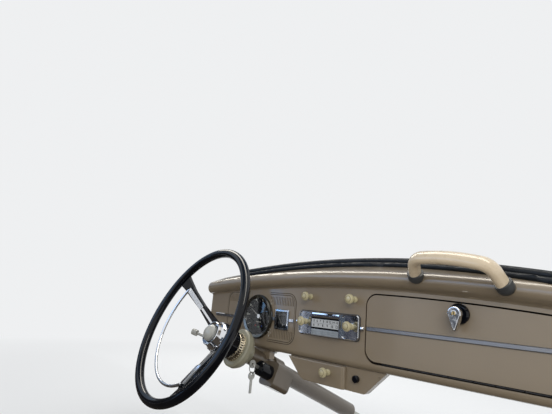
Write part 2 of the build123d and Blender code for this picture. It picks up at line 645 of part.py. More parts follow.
def radio():
    place = Pos(RADIO_X, RADIO_Z)
    body = slab(place * Rectangle(RADIO_BODY_WIDTH, RADIO_BODY_HEIGHT), -RADIO_GASKET, RADIO_BODY_DEPTH)
    body = chamfer(body.edges().filter_by(Axis.Y), 2)
    margin = 2 * RADIO_GASKET_MARGIN
    gasket = place * RectangleRounded(RADIO_WIDTH + margin, RADIO_HEIGHT + margin,
                                      RADIO_CORNER + RADIO_GASKET_MARGIN)
    gasket -= place * Rectangle(RADIO_BODY_WIDTH + CASE_CLEARANCE, RADIO_BODY_HEIGHT + CASE_CLEARANCE)
    outline = place * RectangleRounded(RADIO_WIDTH, RADIO_HEIGHT, RADIO_CORNER)
    face = slab(outline, -RADIO_PROUD, -RADIO_GASKET)
    face = chamfer(face.faces().sort_by(Axis.Y)[0].edges(), 1.5)
    groove = RADIO_GROOVE_Y
    front = -RADIO_CENTRE_PROUD
    root = -RADIO_PROUD + 1
    top = RADIO_HEIGHT / 2 - 1.5
    half = RADIO_CENTRE_WIDTH / 2
    inside = RADIO_CENTRE_WIDTH - 2 * RADIO_CHEEK
    pocket_left = half + 1.5
    pocket_right = RADIO_WIDTH / 2 - RADIO_POCKET_RIM
    pocket_width = pocket_right - pocket_left
    for side in (-1, 1):
        pocket = place * Pos(side * (pocket_left + pocket_width / 2), 0)
        pocket *= RectangleRounded(pocket_width, RADIO_HEIGHT - 2 * RADIO_POCKET_RIM,
                                   RADIO_CORNER - RADIO_POCKET_RIM)
        face -= slab(pocket, -RADIO_PROUD - 1, -RADIO_PROUD + RADIO_POCKET_DEPTH)
    bar_foot = RADIO_BAR_FOOT
    scale_y = RADIO_SCALE_Y
    scale_front = scale_y - RADIO_SCALE_THICKNESS
    scale_top = RADIO_SCALE_TOP
    scale_foot = RADIO_SCALE_FOOT
    face += radio_section([(root, top), (front + 3, top), (front + 0.8, top - 1.6), (front, top - 4.5),
                           (front, bar_foot + 3), (front + 1.2, bar_foot), (groove, bar_foot),
                           (groove, scale_top), (scale_y, scale_top), (scale_y, scale_foot),
                           (groove, scale_foot), (groove, -top), (root, -top)], inside)
    cheek = radio_section([(root, top), (front + 3, top), (front + 0.5, top - 2), (front + 0.5, -top + 2),
                           (front + 2, -top), (root, -top)], RADIO_CHEEK)
    for side in (-1, 1):
        face += Pos(side * (half - RADIO_CHEEK / 2), 0, 0) * cheek
    scale = radio_section([(scale_y, scale_top), (scale_front, scale_top), (scale_front, scale_foot),
                           (scale_y, scale_foot)], inside)
    keys_top = RADIO_KEYS_TOP
    bar = [(groove, keys_top), (front + 1, keys_top), (front, keys_top - 1.5)]
    for line in (keys_top - 4.5, keys_top - 8.5):
        bar += [(front, line), (front + 0.7, line - 0.3), (front + 0.7, line - 0.9), (front, line - 1.2)]
    bar += [(front, -top + 1.5), (front + 1, -top), (groove, -top)]
    seat = -RADIO_PROUD + RADIO_POCKET_DEPTH
    knobs = []
    for side in (-1, 1):
        stand = Pos(RADIO_X + side * RADIO_KNOB_SPACING / 2, seat, RADIO_Z + RADIO_KNOB_RAISE)
        knobs.append(stand * knob(KNOB_PROUD + seat))
    PIECES["radio_body"] = body
    PIECES["radio_gasket"] = slab(gasket, -RADIO_GASKET, 0)
    PIECES["radio_face"] = face
    PIECES["radio_scale"] = scale
    PIECES["radio_buttons"] = radio_section(bar, inside)
    PIECES["radio_knobs"] = knobs


def dash_knobs():
    PIECES["switch_knobs"] = [Pos(x, 0, SWITCH_KNOB_Z) * knob(KNOB_PROUD) for x in SWITCH_KNOB_XS]
    PIECES["lower_knob"] = turned([(0, PANEL_Y), (LOWER_KNOB_RADIUS, PANEL_Y),
                                   (LOWER_KNOB_RADIUS, PANEL_Y - LOWER_KNOB_PROUD + 2),
                                   (LOWER_KNOB_RADIUS - 2, PANEL_Y - LOWER_KNOB_PROUD),
                                   (0, PANEL_Y - LOWER_KNOB_PROUD)], LOWER_KNOB_X, LOWER_KNOB_Z)


def trim_bar(start, end, z, seat=0.0, proud=TRIM_PROUD):
    """A bright strip with chamfered edges, lying on the face."""
    bar = slab(Pos((start + end) / 2, z) * Rectangle(end - start, TRIM_HEIGHT), seat - proud, seat)
    return chamfer(bar.faces().sort_by(Axis.Y)[0].edges(), 1.2)


def trim_strips():
    over_bead = -BEAD_PROUD - 0.1
    left = trim_bar(LEFT_TRIM_START_X, LEFT_TRIM_END_X, LEFT_TRIM_Z, over_bead)
    left += trim_bar(LEFT_TRIM_START_X, LEFT_TRIM_START_X + 10, LEFT_TRIM_Z)
    link = trim_bar(SPEEDO_X + SPEEDO_BEZEL_RADIUS + TRIM_GAP, GAUGE_X - GAUGE_SIZE / 2 - TRIM_GAP, GAUGE_Z,
                    over_bead, LINK_TRIM_PROUD)
    right = trim_bar(GAUGE_X + GAUGE_SIZE / 2 + TRIM_GAP,
                     SPEEDO_X + GRILLE_REACH - BEAD_WIDTH - TRIM_GAP, GAUGE_Z)
    solids = [left, link, right]
    for side in (-1, 1):
        reach = RADIO_WIDTH / 2 + RADIO_GASKET_MARGIN + TRIM_GAP + STUD_RADIUS
        solids.append(turned([(0, 0), (STUD_RADIUS, 0), (STUD_RADIUS, -STUD_PROUD / 2),
                              (STUD_RADIUS - 2, -STUD_PROUD + 1), (0, -STUD_PROUD)],
                             RADIO_X + side * reach, RADIO_Z))
    return solids


def along_hinge(x, depth, height, length):
    """A bar between the hinge's axis and the floor of the seam, centred at x."""
    return Pos(x, HINGE_Y + depth / 2, HINGE_Z - height / 2) * Box(length, depth, height)


def lid_hinge(span, pitch):
    """Pin with fixed knuckles between the lid's eyes, on a leaf that lies on the box's floor."""
    drop = LID_HINGE_GAP / 2
    leaf_start = HINGE_EYE_RADIUS + 0.6
    hinge = Pos(LID_X, HINGE_Y, HINGE_Z) * Rot(0, 90, 0) * Cylinder(HINGE_PIN_RADIUS, span)
    leaf = Pos(LID_X, HINGE_Y + leaf_start + HINGE_LEAF_DEPTH / 2, HINGE_Z - drop + HINGE_LEAF_THICKNESS / 2)
    hinge += leaf * Box(span, HINGE_LEAF_DEPTH, HINGE_LEAF_THICKNESS)
    width = pitch - HINGE_EYE_LENGTH - HINGE_KNUCKLE_GAP
    for index in range(1, HINGE_EYE_COUNT):
        x = LID_X + (index - HINGE_EYE_COUNT / 2) * pitch
        hinge += Pos(x, HINGE_Y, HINGE_Z) * Rot(0, 90, 0) * Cylinder(HINGE_EYE_RADIUS, width)
        hinge += along_hinge(x, leaf_start + 1, drop, width)
    for side in (-1, 1):
        hinge += along_hinge(LID_X + side * (span / 2 - 1.5), leaf_start + 1, drop, 3)
    return hinge


def lid_hinge_leaves(pitch):
    """Leaves under the lid's lower flange, each rolled to an eye about the pin."""
    bore = Circle(HINGE_PIN_RADIUS + HINGE_CLEARANCE)
    rise = LID_HINGE_GAP / 2
    leaf = Pos(HINGE_LID_LEAF_DEPTH / 2, rise - HINGE_LEAF_THICKNESS / 2)
    section = Circle(HINGE_EYE_RADIUS) + leaf * Rectangle(HINGE_LID_LEAF_DEPTH, HINGE_LEAF_THICKNESS) - bore
    leaves = []
    for index in range(HINGE_EYE_COUNT):
        start = LID_X + (index - (HINGE_EYE_COUNT - 1) / 2) * pitch - HINGE_EYE_LENGTH / 2
        leaves.append(Pos(start, HINGE_Y, HINGE_Z) * extrude(Plane.YZ * section, amount=HINGE_EYE_LENGTH))
    return leaves


def pear(head, tip, drop):
    """A round head at the origin that narrows to a small round tip below it."""
    lean = math.asin((head - tip) / drop)
    across = math.cos(lean)
    down = math.sin(lean)
    sides = make_face(Polyline((head * across, -head * down), (-head * across, -head * down),
                               (-tip * across, -drop - tip * down), (tip * across, -drop - tip * down),
                               close=True))
    return Circle(head) + Pos(0, -drop) * Circle(tip) + sides


def glovebox():
    lid = slab(lid_outline(), 0, LID_FLANGE)
    lid -= slab(lid_outline(-SHEET, -SHEET), SHEET, LID_FLANGE + 1)
    span = LID_RIGHT_X - LID_LEFT_X - 2 * LID_CORNER - 2 * HINGE_END_INSET
    pitch = span / HINGE_EYE_COUNT
    PIECES["glovebox_lid"] = lid
    PIECES["lid_hinge"] = lid_hinge(span, pitch)
    PIECES["lid_hinge_leaves"] = lid_hinge_leaves(pitch)
    inner = lid_outline(LID_GAP + 0.5, LID_HINGE_GAP)
    outer = lid_outline(LID_GAP + 0.5 + LINER_WALL, LID_HINGE_GAP + LINER_WALL)
    liner = slab(outer, SHEET, LINER_DEPTH)
    liner -= slab(inner, SHEET - 1, LINER_DEPTH - LINER_WALL)
    PIECES["glovebox_liner"] = liner
    strip = trim_bar(LID_LEFT_X + 2, LID_RIGHT_X - 2, 0)
    for edge in (-1, 1):
        groove = Pos(LID_X, -TRIM_PROUD, edge * TRIM_HEIGHT * 0.22)
        strip -= groove * Box(LID_RIGHT_X - LID_LEFT_X, 1.0, TRIM_GROOVE)
    PIECES["lid_trim"] = strip
    PIECES["lock_base"] = turned([(0, 0), (LOCK_BASE_RADIUS, 0), (LOCK_BASE_RADIUS, -LOCK_BASE_PROUD + 3),
                                  (LOCK_BASE_RADIUS - 3, -LOCK_BASE_PROUD), (0, -LOCK_BASE_PROUD)],
                                 LID_X, LOCK_Z)
    handle = slab(pear(LOCK_HEAD_RADIUS, LOCK_TIP_RADIUS, LOCK_TIP_DROP),
                  LOCK_HANDLE_Y - LOCK_HANDLE_THICKNESS, LOCK_HANDLE_Y)
    handle = fillet(handle.faces().sort_by(Axis.Y)[0].edges(), LOCK_ROUNDING)
    handle += slab(Circle(LOCK_NECK_RADIUS), LOCK_HANDLE_Y, -LOCK_BASE_PROUD)
    PIECES["lid_lock"] = Pos(LID_X, 0, LOCK_Z) * handle


def lower_outline(right, foot_right, corner, inset=0.0, top_gap=0.0):
    """The tapered outline below the lip, with a wide curve at its lower left corner."""
    slope = (PANEL_FOOT_LEFT_X - PANEL_LEFT_X) / PANEL_HEIGHT
    left_inset = inset * math.hypot(1, slope)
    high = PANEL_TOP_Z - top_gap - inset
    low = PANEL_FOOT_Z + inset
    left_high = PANEL_LEFT_X + (PANEL_TOP_Z - high) * slope + left_inset
    left_low = PANEL_LEFT_X + (PANEL_TOP_Z - low) * slope + left_inset
    right_slope = (right - foot_right) / PANEL_HEIGHT
    right_inset = inset * math.hypot(1, right_slope)
    right_high = right - (PANEL_TOP_Z - high) * right_slope - right_inset
    right_low = right - (PANEL_TOP_Z - low) * right_slope - right_inset
    face = make_face(Polyline((left_high, high), (right_high, high), (right_low, low), (left_low, low),
                              close=True))
    foot = face.vertices().sort_by(Axis.Y)[:2].sort_by(Axis.X)
    face = fillet(foot[0], PANEL_LEFT_CORNER - inset)
    if corner > inset:
        foot = face.vertices().sort_by(Axis.Y)[:2].sort_by(Axis.X)
        face = fillet(foot[1], corner - inset)
    return face


def front_pan(inset):
    """The drawer's front as a block whose right edge curves back, inset on its outer sides."""
    outline = lower_outline(FRONT_RIGHT_X, FRONT_RIGHT_X, 0, inset, FRONT_TOP_GAP)
    front = FRONT_Y + inset
    back = PANEL_Y - TRAY_CLEARANCE
    left = PANEL_LEFT_X - 10
    right = FRONT_RIGHT_X - inset
    plan = make_face(Polyline((left, front), (right, front), (right, back), (left, back), close=True))
    corner = plan.vertices().sort_by(Axis.X)[-2:].sort_by(Axis.Y)[0]
    plan = fillet(corner, FRONT_SIDE_RADIUS - inset)
    curved = Pos(0, 0, PANEL_FOOT_Z - 10) * extrude(plan, amount=PANEL_HEIGHT + 20)
    return slab(outline, front, back) & curved


def ashtray():
    front = PANEL_Y + SHEET
    sleeve_end = PANEL_Y + TRAY_DEPTH + 4
    panel = slab(lower_outline(PANEL_RIGHT_X, PANEL_FOOT_RIGHT_X, PANEL_RIGHT_CORNER), PANEL_Y,
                 PANEL_Y + PANEL_DEPTH)
    panel -= slab(lower_outline(PANEL_RIGHT_X, PANEL_FOOT_RIGHT_X, PANEL_RIGHT_CORNER, SHEET), front,
                  PANEL_Y + PANEL_DEPTH + 1)
    place = Pos(TRAY_X, TRAY_Z)
    room = 2 * TRAY_CLEARANCE
    panel += slab(place * Rectangle(TRAY_WIDTH + room + 2 * SHEET, TRAY_HEIGHT + room + 2 * SHEET), front,
                  sleeve_end)
    panel -= slab(place * Rectangle(TRAY_WIDTH + room, TRAY_HEIGHT + room), PANEL_Y - 1, sleeve_end - SHEET)
    PIECES["ashtray_panel"] = panel
    pan = front_pan(0)
    edges = pan.faces().sort_by(Axis.Y)[0].edges().sort_by(Axis.X)[:-1]
    pan = fillet(edges, FRONT_EDGE_RADIUS)
    pan -= front_pan(TRAY_WALL)
    box_start = FRONT_Y + TRAY_WALL / 2
    box_end = PANEL_Y + TRAY_DEPTH
    box = slab(place * Rectangle(TRAY_WIDTH, TRAY_HEIGHT), box_start, box_end)
    hollow = place * Pos(0, TRAY_WALL) * Rectangle(TRAY_WIDTH - 2 * TRAY_WALL, TRAY_HEIGHT)
    box -= slab(hollow, FRONT_Y + TRAY_WALL, box_end - TRAY_WALL)
    PIECES["ashtray_drawer"] = pan + box
    PIECES["ashtray_knob"] = Pos(TRAY_X, FRONT_Y, TRAY_KNOB_Z) * knob(TRAY_KNOB_PROUD)


def grab_handle(skin):
    """Moulded bar on two rounded sockets, leaning back from the roll of the brow."""
    lean = math.radians(HANDLE_LEAN)
    tilt = math.radians(HANDLE_TILT)
    foot = math.radians(HANDLE_FOOT_ANGLE)
    away = Vector(0, -math.sin(lean), math.cos(lean))
    along = Vector(math.cos(tilt), 0, -math.sin(tilt))
    roll_z = ROLL_Z - crown_drop(HANDLE_X, CROWN_RADIUS)
    origin = Vector(HANDLE_X, -ROLL_SETBACK - HANDLE_FOOT_DISTANCE * math.sin(foot),
                    roll_z + HANDLE_FOOT_DISTANCE * math.cos(foot))
    feet = []
    shoulders = []
    for side in (-1, 1):
        feet.append(origin + along * (side * HANDLE_FOOT_REACH))
        shoulders.append(origin + along * (side * HANDLE_SHOULDER_REACH) + away * HANDLE_SHOULDER_RISE)
    legs = [(shoulder - root).normalized() for root, shoulder in zip(feet, shoulders)]
    path = FilletPolyline(feet[0] + legs[0] * HANDLE_LIFT, shoulders[0], origin + away * HANDLE_CROWN_RISE,
                          shoulders[1], feet[1] + legs[1] * HANDLE_LIFT,
                          radius=[HANDLE_SHOULDER_RADIUS, HANDLE_CROWN_RADIUS, HANDLE_SHOULDER_RADIUS])
    normal = along.cross(away).normalized()
    start = Plane(origin=path @ 0, x_dir=normal, z_dir=path % 0)
    bar = sweep(start * Ellipse(HANDLE_BAR_DEPTH / 2, HANDLE_BAR_HEIGHT / 2), path)
    sockets = []
    for root, leg in zip(feet, legs):
        cup = Pos(0, 0, (SOCKET_RIM - SOCKET_DEPTH) / 2) * Cylinder(SOCKET_RADIUS, SOCKET_RIM + SOCKET_DEPTH)
        cup = fillet(cup.edges().sort_by(Axis.Z)[0], SOCKET_ROUNDING)
        cup = fillet(cup.edges().sort_by(Axis.Z)[-1], 1.0)
        cup = Plane(origin=root, x_dir=normal, z_dir=leg).location * cup
        cup = (cup - skin).solids().sort_by(SortBy.VOLUME)[-1]
        sockets.append(cup - bar)
    PIECES["grab_handle"] = bar
    PIECES["handle_sockets"] = sockets


def column_pieces():
    tube = column_rod(TUBE_RADIUS, TUBE_START, TUBE_END) - column_rod(TUBE_RADIUS - TUBE_WALL,
                                                                     TUBE_START - 1, TUBE_END + 1)
    PIECES["column_tube"] = COLUMN * tube
    bore = SHAFT_RADIUS + RUNNING_CLEARANCE
    bushes = []
    for start in (TUBE_START + 4, TUBE_END - BUSH_LENGTH - 4):
        bush = column_rod(TUBE_RADIUS - TUBE_WALL, start, start + BUSH_LENGTH)
        bushes.append(COLUMN * (bush - column_rod(bore, start - 1, start + BUSH_LENGTH + 1)))
    PIECES["column_bushes"] = bushes
    floor = COLLAR_START + COLLAR_OPENING_DEPTH
    collar = column_turned([(SHAFT_RADIUS + 4, floor), (COLLAR_OPENING_RADIUS, floor),
                            (COLLAR_OPENING_RADIUS, COLLAR_START), (COLLAR_RADIUS - 4, COLLAR_START),
                            (COLLAR_RADIUS, COLLAR_START + 3), (COLLAR_RADIUS, COLLAR_START + 14),
                            (COLLAR_RADIUS - 5, COLLAR_END - 8), (COLLAR_TAIL_RADIUS, COLLAR_END),
                            (TUBE_RADIUS + 3, COLLAR_END + 3), (TUBE_RADIUS + 3, COLLAR_END + COLLAR_SLEEVE),
                            (TUBE_RADIUS, COLLAR_END + COLLAR_SLEEVE), (TUBE_RADIUS, TUBE_START),
                            (SHAFT_RADIUS + 4, TUBE_START)])
    PIECES["signal_housing"] = COLUMN * collar
    PIECES["collar_ring"] = COLUMN * collar_ring(floor)
    root = Vector(-COLLAR_RADIUS + 0.5, 0, -STALK_START)
    bend = Vector(-COLLAR_RADIUS - 22, 0, -STALK_START)
    tip = Vector(-STALK_REACH, 4, -STALK_END)
    path = FilletPolyline(root, bend, tip, radius=14)
    stalk = sweep((path ^ 0) * Circle(STALK_RADIUS), path)
    stalk += Location(Plane(origin=tip, z_dir=(tip - bend))) * Pos(0, 0, 4) * Cylinder(STALK_KNOB_RADIUS, 15)
    PIECES["indicator_stalk"] = COLUMN * (stalk - column_rod(COLLAR_RADIUS, COLLAR_START, COLLAR_END))
    length = LOCK_HOUSING_END - LOCK_HOUSING_START
    middle = (LOCK_HOUSING_START + LOCK_HOUSING_END) / 2
    block = Pos(LOCK_HOUSING_U, LOCK_HOUSING_W, -middle)
    block *= Box(LOCK_HOUSING_WIDTH, LOCK_HOUSING_HEIGHT, length)
    block = fillet(block.edges().filter_by(Axis.Z), 12)
    block = chamfer(block.faces().sort_by(Axis.Z)[0].edges(), 10)
    clamp = column_rod(TUBE_RADIUS + CLAMP_WALL, LOCK_HOUSING_START + 26, LOCK_HOUSING_END - 8)
    bridge = Pos(LOCK_HOUSING_U / 2, LOCK_HOUSING_W / 2, -middle - 9) * Box(LOCK_HOUSING_U, 40, length - 34)
    housing = block + clamp + bridge
    housing -= column_rod(TUBE_RADIUS, LOCK_HOUSING_START - 1, LOCK_HOUSING_END + 1)
    PIECES["lock_housing"] = COLUMN * housing
    barrel = column_rod(BARREL_RADIUS, BARREL_START, LOCK_HOUSING_START, LOCK_HOUSING_U, LOCK_HOUSING_W)
    barrel = chamfer(barrel.faces().sort_by(Axis.Z)[-1].edges(), 2.5)
    barrel -= Pos(LOCK_HOUSING_U, LOCK_HOUSING_W, -BARREL_START) * Box(KEY_THICKNESS + 0.4, 9, 24)
    PIECES["ignition_barrel"] = COLUMN * barrel


def keys():
    """A key in the barrel, and a second one that hangs from it on a ring."""
    bow_z = -BARREL_START + KEY_BOW_RADIUS + KEY_STAND_OFF
    key = Pos(0, 0, bow_z) * Rot(0, 90, 0) * Cylinder(KEY_BOW_RADIUS, KEY_THICKNESS)
    blade = KEY_STAND_OFF + 12
    key += Pos(0, 0, bow_z - KEY_BOW_RADIUS + 2 - blade / 2) * Box(KEY_THICKNESS, 8, blade)
    key -= Pos(0, 0, bow_z) * Rot(0, 90, 0) * Cylinder(KEY_HOLE_RADIUS, 10)
    key = COLUMN * Pos(LOCK_HOUSING_U, LOCK_HOUSING_W, 0) * key
    hole = (COLUMN * Pos(LOCK_HOUSING_U, LOCK_HOUSING_W, bow_z)).position
    slack = KEY_HOLE_RADIUS - KEY_WIRE_RADIUS - KEY_CLEARANCE
    ring_centre = hole - Vector(0, 0, slack + KEY_RING_RADIUS)
    ring = Location(ring_centre) * Rot(90, 0, 0) * Torus(KEY_RING_RADIUS, KEY_WIRE_RADIUS)
    second_hole = ring_centre - Vector(0, 0, KEY_RING_RADIUS + slack)
    second = Pos(0, 0, -KEY_BOW_RADIUS + 5) * Rot(0, 90, 0) * Cylinder(KEY_BOW_RADIUS, KEY_THICKNESS)
    second += Pos(0, 0, -KEY_BOW_RADIUS * 2 - 9) * Box(KEY_THICKNESS, 7, 34)
    second -= Rot(0, 90, 0) * Cylinder(KEY_HOLE_RADIUS, 10)
    return [key, ring, Location(second_hole) * second]


def collar_ring(end):
    """Cone-fronted ring that stands in the collar's opening, fluted all round."""
    start = COLLAR_RING_START
    front = COLLAR_RING_FRONT_RADIUS
    rear = COLLAR_RING_REAR_RADIUS
    middle = (start + end) / 2
    bore = COLLAR_RING_BORE
    ring = column_turned([(bore, start + 1), (front - 1, start), (front, start + 1), (rear, middle),
                          (rear, end), (bore, end)])
    slope = math.degrees(math.atan2(rear - front, middle - start - 1))
    reach = (front + rear) / 2 + FLUTE_RADIUS - FLUTE_DEPTH
    flute = Pos(reach, 0, -(start + 1 + middle) / 2) * Rot(0, -slope, 0)
    flute *= Cylinder(FLUTE_RADIUS, 1.4 * (middle - start))
    for index in range(FLUTE_COUNT):
        ring -= Rot(0, 0, index * 360 / FLUTE_COUNT) * flute
    return ring


def column_bracket():
    """Saddle between the lip's return flange and the column tube."""
    along = (SADDLE_Y - RIM_Y) / -TO_DRIVER.Y
    centre = Vector(RIM_X, RIM_Y, RIM_Z) - TO_DRIVER * along
    foot = centre.Z + SADDLE_GRIP
    height = LIP_BOTTOM_Z - foot
    block = Pos(centre.X, SADDLE_Y, foot + height / 2) * Box(SADDLE_WIDTH, SADDLE_DEPTH, height)
    plate = Pos(centre.X, SADDLE_Y, LIP_BOTTOM_Z - SADDLE_PLATE_THICKNESS / 2)
    block += plate * Box(SADDLE_PLATE_WIDTH, SADDLE_DEPTH, SADDLE_PLATE_THICKNESS)
    return block - COLUMN * column_rod(TUBE_RADIUS, TUBE_START, TUBE_END)


def spoke(angle):
    """One spoke of the moulding: its side profile, kept inside its plan outline."""
    root_r = SPOKE_ROOT_RADIUS
    ring_r = HORN_RING_RADIUS
    tip_r = RIM_RADIUS
    shoulder_depth = SPOKE_RING_DEPTH + 10 * SPOKE_FALL + SPOKE_THICKNESS
    top = [(root_r - 8, -SPOKE_ROOT_DEPTH - 8 * SPOKE_FALL), (ring_r, -SPOKE_RING_DEPTH),
           (ring_r + HORN_WIRE_RADIUS + 2, -SPOKE_RING_DEPTH), (tip_r - RIM_TUBE_RADIUS - 4, -4), (tip_r, 0)]
    bottom = [(tip_r, -7), (ring_r + 14, -SPOKE_RING_DEPTH - SPOKE_THICKNESS + 4),
              (ring_r - 10, -shoulder_depth - 1), (BOSS_END_RADIUS, -BOSS_END), (root_r - 8, -BOSS_END)]
    side = Plane.XZ * make_face(Polyline(*top, *bottom, close=True))
    bar = Pos(0, SPOKE_END_WIDTH, 0) * extrude(side, amount=2 * SPOKE_END_WIDTH)
    half = SPOKE_WIDTH / 2
    end = SPOKE_END_WIDTH / 2
    plan = make_face([
        Line((root_r - 8, -half - 3), (root_r - 8, half + 3)),
        Line((root_r - 8, half + 3), (ring_r - 50, half - 3)),
        Line((ring_r - 50, half - 3), (ring_r, half)),
        ThreePointArc((ring_r, half), (ring_r + 20, half + 2.5), (tip_r, end)),
        Line((tip_r, end), (tip_r, -end)),
        ThreePointArc((tip_r, -end), (ring_r + 20, -half - 2.5), (ring_r, -half)),
        Line((ring_r, -half), (ring_r - 50, -half + 3)),
        Line((ring_r - 50, -half + 3), (root_r - 8, -half - 3)),
    ])
    plan_block = Pos(0, 0, -BOSS_END - 1) * extrude(plan, amount=BOSS_END + 20)
    shape = (bar & plan_block) - Torus(RIM_RADIUS, RIM_TUBE_RADIUS)
    shape = shape.solids().sort_by(SortBy.VOLUME)[-1]
    return Rot(0, 0, angle) * shape


def spoke_angles():
    return (180 + SPOKE_DROOP, -SPOKE_DROOP)


def steering_wheel():
    PIECES["wheel_rim"] = WHEEL * Torus(RIM_RADIUS, RIM_TUBE_RADIUS)
    bore = SHAFT_RADIUS + RUNNING_CLEARANCE / 2
    spokes = column_turned([(0, BOSS_START), (BOSS_FRONT_RADIUS, BOSS_START), (BOSS_RADIUS, BOSS_END - 3),
                            (BOSS_END_RADIUS, BOSS_END), (bore, BOSS_END), (bore, SHAFT_START),
                            (0, SHAFT_START)])
    for angle in spoke_angles():
        spokes += spoke(angle)
    PIECES["wheel_spokes"] = WHEEL * spokes
    inner = SHROUD_RADIUS - SHROUD_WALL
    shroud = column_turned([(bore, BOSS_END), (SHROUD_RADIUS - 1.5, BOSS_END), (SHROUD_RADIUS, BOSS_END + 2),
                            (SHROUD_RADIUS, SHROUD_END - 1), (SHROUD_RADIUS - 1, SHROUD_END),
                            (inner, SHROUD_END), (inner, BOSS_END + SHROUD_WALL + 1),
                            (inner - 1, BOSS_END + SHROUD_WALL), (bore, BOSS_END + SHROUD_WALL)])
    PIECES["hub_shroud"] = WHEEL * shroud
    shaft = column_rod(SHAFT_RADIUS, SHAFT_START, SHAFT_END - JOURNAL_LENGTH)
    shaft += column_rod(JOURNAL_RADIUS, SHAFT_END - JOURNAL_LENGTH, SHAFT_END)
    PIECES["steering_shaft"] = COLUMN * shaft


def horn_bar(inner, outer, width, thickness, angle):
    """A flat bar that follows the spoke's top at a small distance."""
    corners = []
    for radius, rise in ((inner + 1, 0), (outer, 0), (outer, thickness), (inner, thickness)):
        depth = SPOKE_RING_DEPTH + (HORN_RING_RADIUS - radius) * SPOKE_FALL
        corners.append((radius, -depth + HORN_LIFT + rise))
    side = Plane.XZ * make_face(Polyline(*corners, close=True))
    return Rot(0, 0, angle) * Pos(0, width / 2, 0) * extrude(side, amount=width)


def horn_ring():
    """Bright half ring with its two pads and strips, on a flared cup over the hub."""
    first, last = spoke_angles()
    start = Vector(HORN_RING_RADIUS, 0, -HORN_RING_DEPTH)
    circle = Plane(origin=start, z_dir=(0, 1, 0)) * Circle(HORN_WIRE_RADIUS)
    half = revolve(circle, Axis.Z, (last - first) % 360)
    ring = Rot(0, 0, first) * half
    front = HORN_CUP_START
    floor = HORN_CUP_FLOOR
    seat = BOSS_START
    wall = HORN_CUP_WALL
    top = HORN_CUP_RADIUS
    foot = BOSS_FRONT_RADIUS
    outside = [(top - 1, front), (top, front + 1), (top + 1.2, seat - 13), (top + 3, seat - 7),
               (foot - 1, seat - 3), (foot, seat)]
    inside = [(foot - wall, seat), (foot - 1 - wall, seat - 2.6), (top + 3 - wall, seat - 6),
              (top - wall, seat - 12), (top - wall - 1, floor + wall), (0, floor + wall), (0, floor),
              (top - wall, floor), (top - wall, front)]
    ring += column_turned(outside + inside)
    strip_root = foot - wall + 0.2
    for angle in spoke_angles():
        ring += horn_bar(HORN_PAD_INNER, HORN_RING_RADIUS, HORN_PAD_WIDTH, HORN_PAD_THICKNESS, angle)
        ring += horn_bar(strip_root, HORN_PAD_INNER + 1, HORN_STRIP_WIDTH, HORN_STRIP_THICKNESS, angle)
    return ring


def horn_button():
    seat = HORN_CUP_FLOOR
    rim = HORN_BUTTON_START
    edges = [
        Line((0, seat), (HORN_BUTTON_RADIUS, seat)),
        Line((HORN_BUTTON_RADIUS, seat), (HORN_BUTTON_RADIUS, rim)),
        dome(HORN_BUTTON_RADIUS, HORN_BUTTON_RISE, rim),
        Line((0, rim - HORN_BUTTON_RISE), (0, seat)),
    ]
    button = revolve(make_face(edges), Axis.Y)
    return Rot(-90, 0, 0) * button


def build():
    PIECES["dash_panel"] = dash_panel()
    PIECES["scuttle_flange"] = scuttle_flange()
    PIECES["end_flanges"] = end_flanges()
    PIECES["shelf_seal"] = shelf_seal()
    PIECES["grille_boards"] = grille_boards()
    speedometer()
    fuel_gauge()
    radio()
    dash_knobs()
    PIECES["trim_strips"] = trim_strips()
    glovebox()
    ashtray()
    grab_handle(brow())
    column_pieces()
    PIECES["keys"] = keys()
    PIECES["column_bracket"] = column_bracket()
    steering_wheel()
    PIECES["horn_ring"] = WHEEL * horn_ring()
    PIECES["horn_button"] = WHEEL * horn_button()


def write():
    os.makedirs("parts", exist_ok=True)
    home = Pos(0, -SCUTTLE_Y, -SCUTTLE_TOP_Z)
    for name, piece in PIECES.items():
        solids = []
        for item in piece if isinstance(piece, list) else [piece]:
            solids += (home * item).solids()
        shape = solids[0] if len(solids) == 1 else Compound(children=solids)
        export_step(shape, f"parts/{name}.step")
        print(name, len(solids), round(sum(solid.volume for solid in solids) / 1000, 1), "cm3")


build()
write()
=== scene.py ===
# %% [markdown]
# # A dashboard with its steering wheel
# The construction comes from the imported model: every pressing, knob and tube has its real size and
# place already. This lesson gives those pieces their finishes, adds the small things that are too
# fine for construction solids, and sets the camera and the lamps.
# All lengths are metres. +X runs to the passenger's side, +Y to the front of the car, +Z up.

import json
import math

import bmesh
import bpy
from mathutils import Matrix, Vector


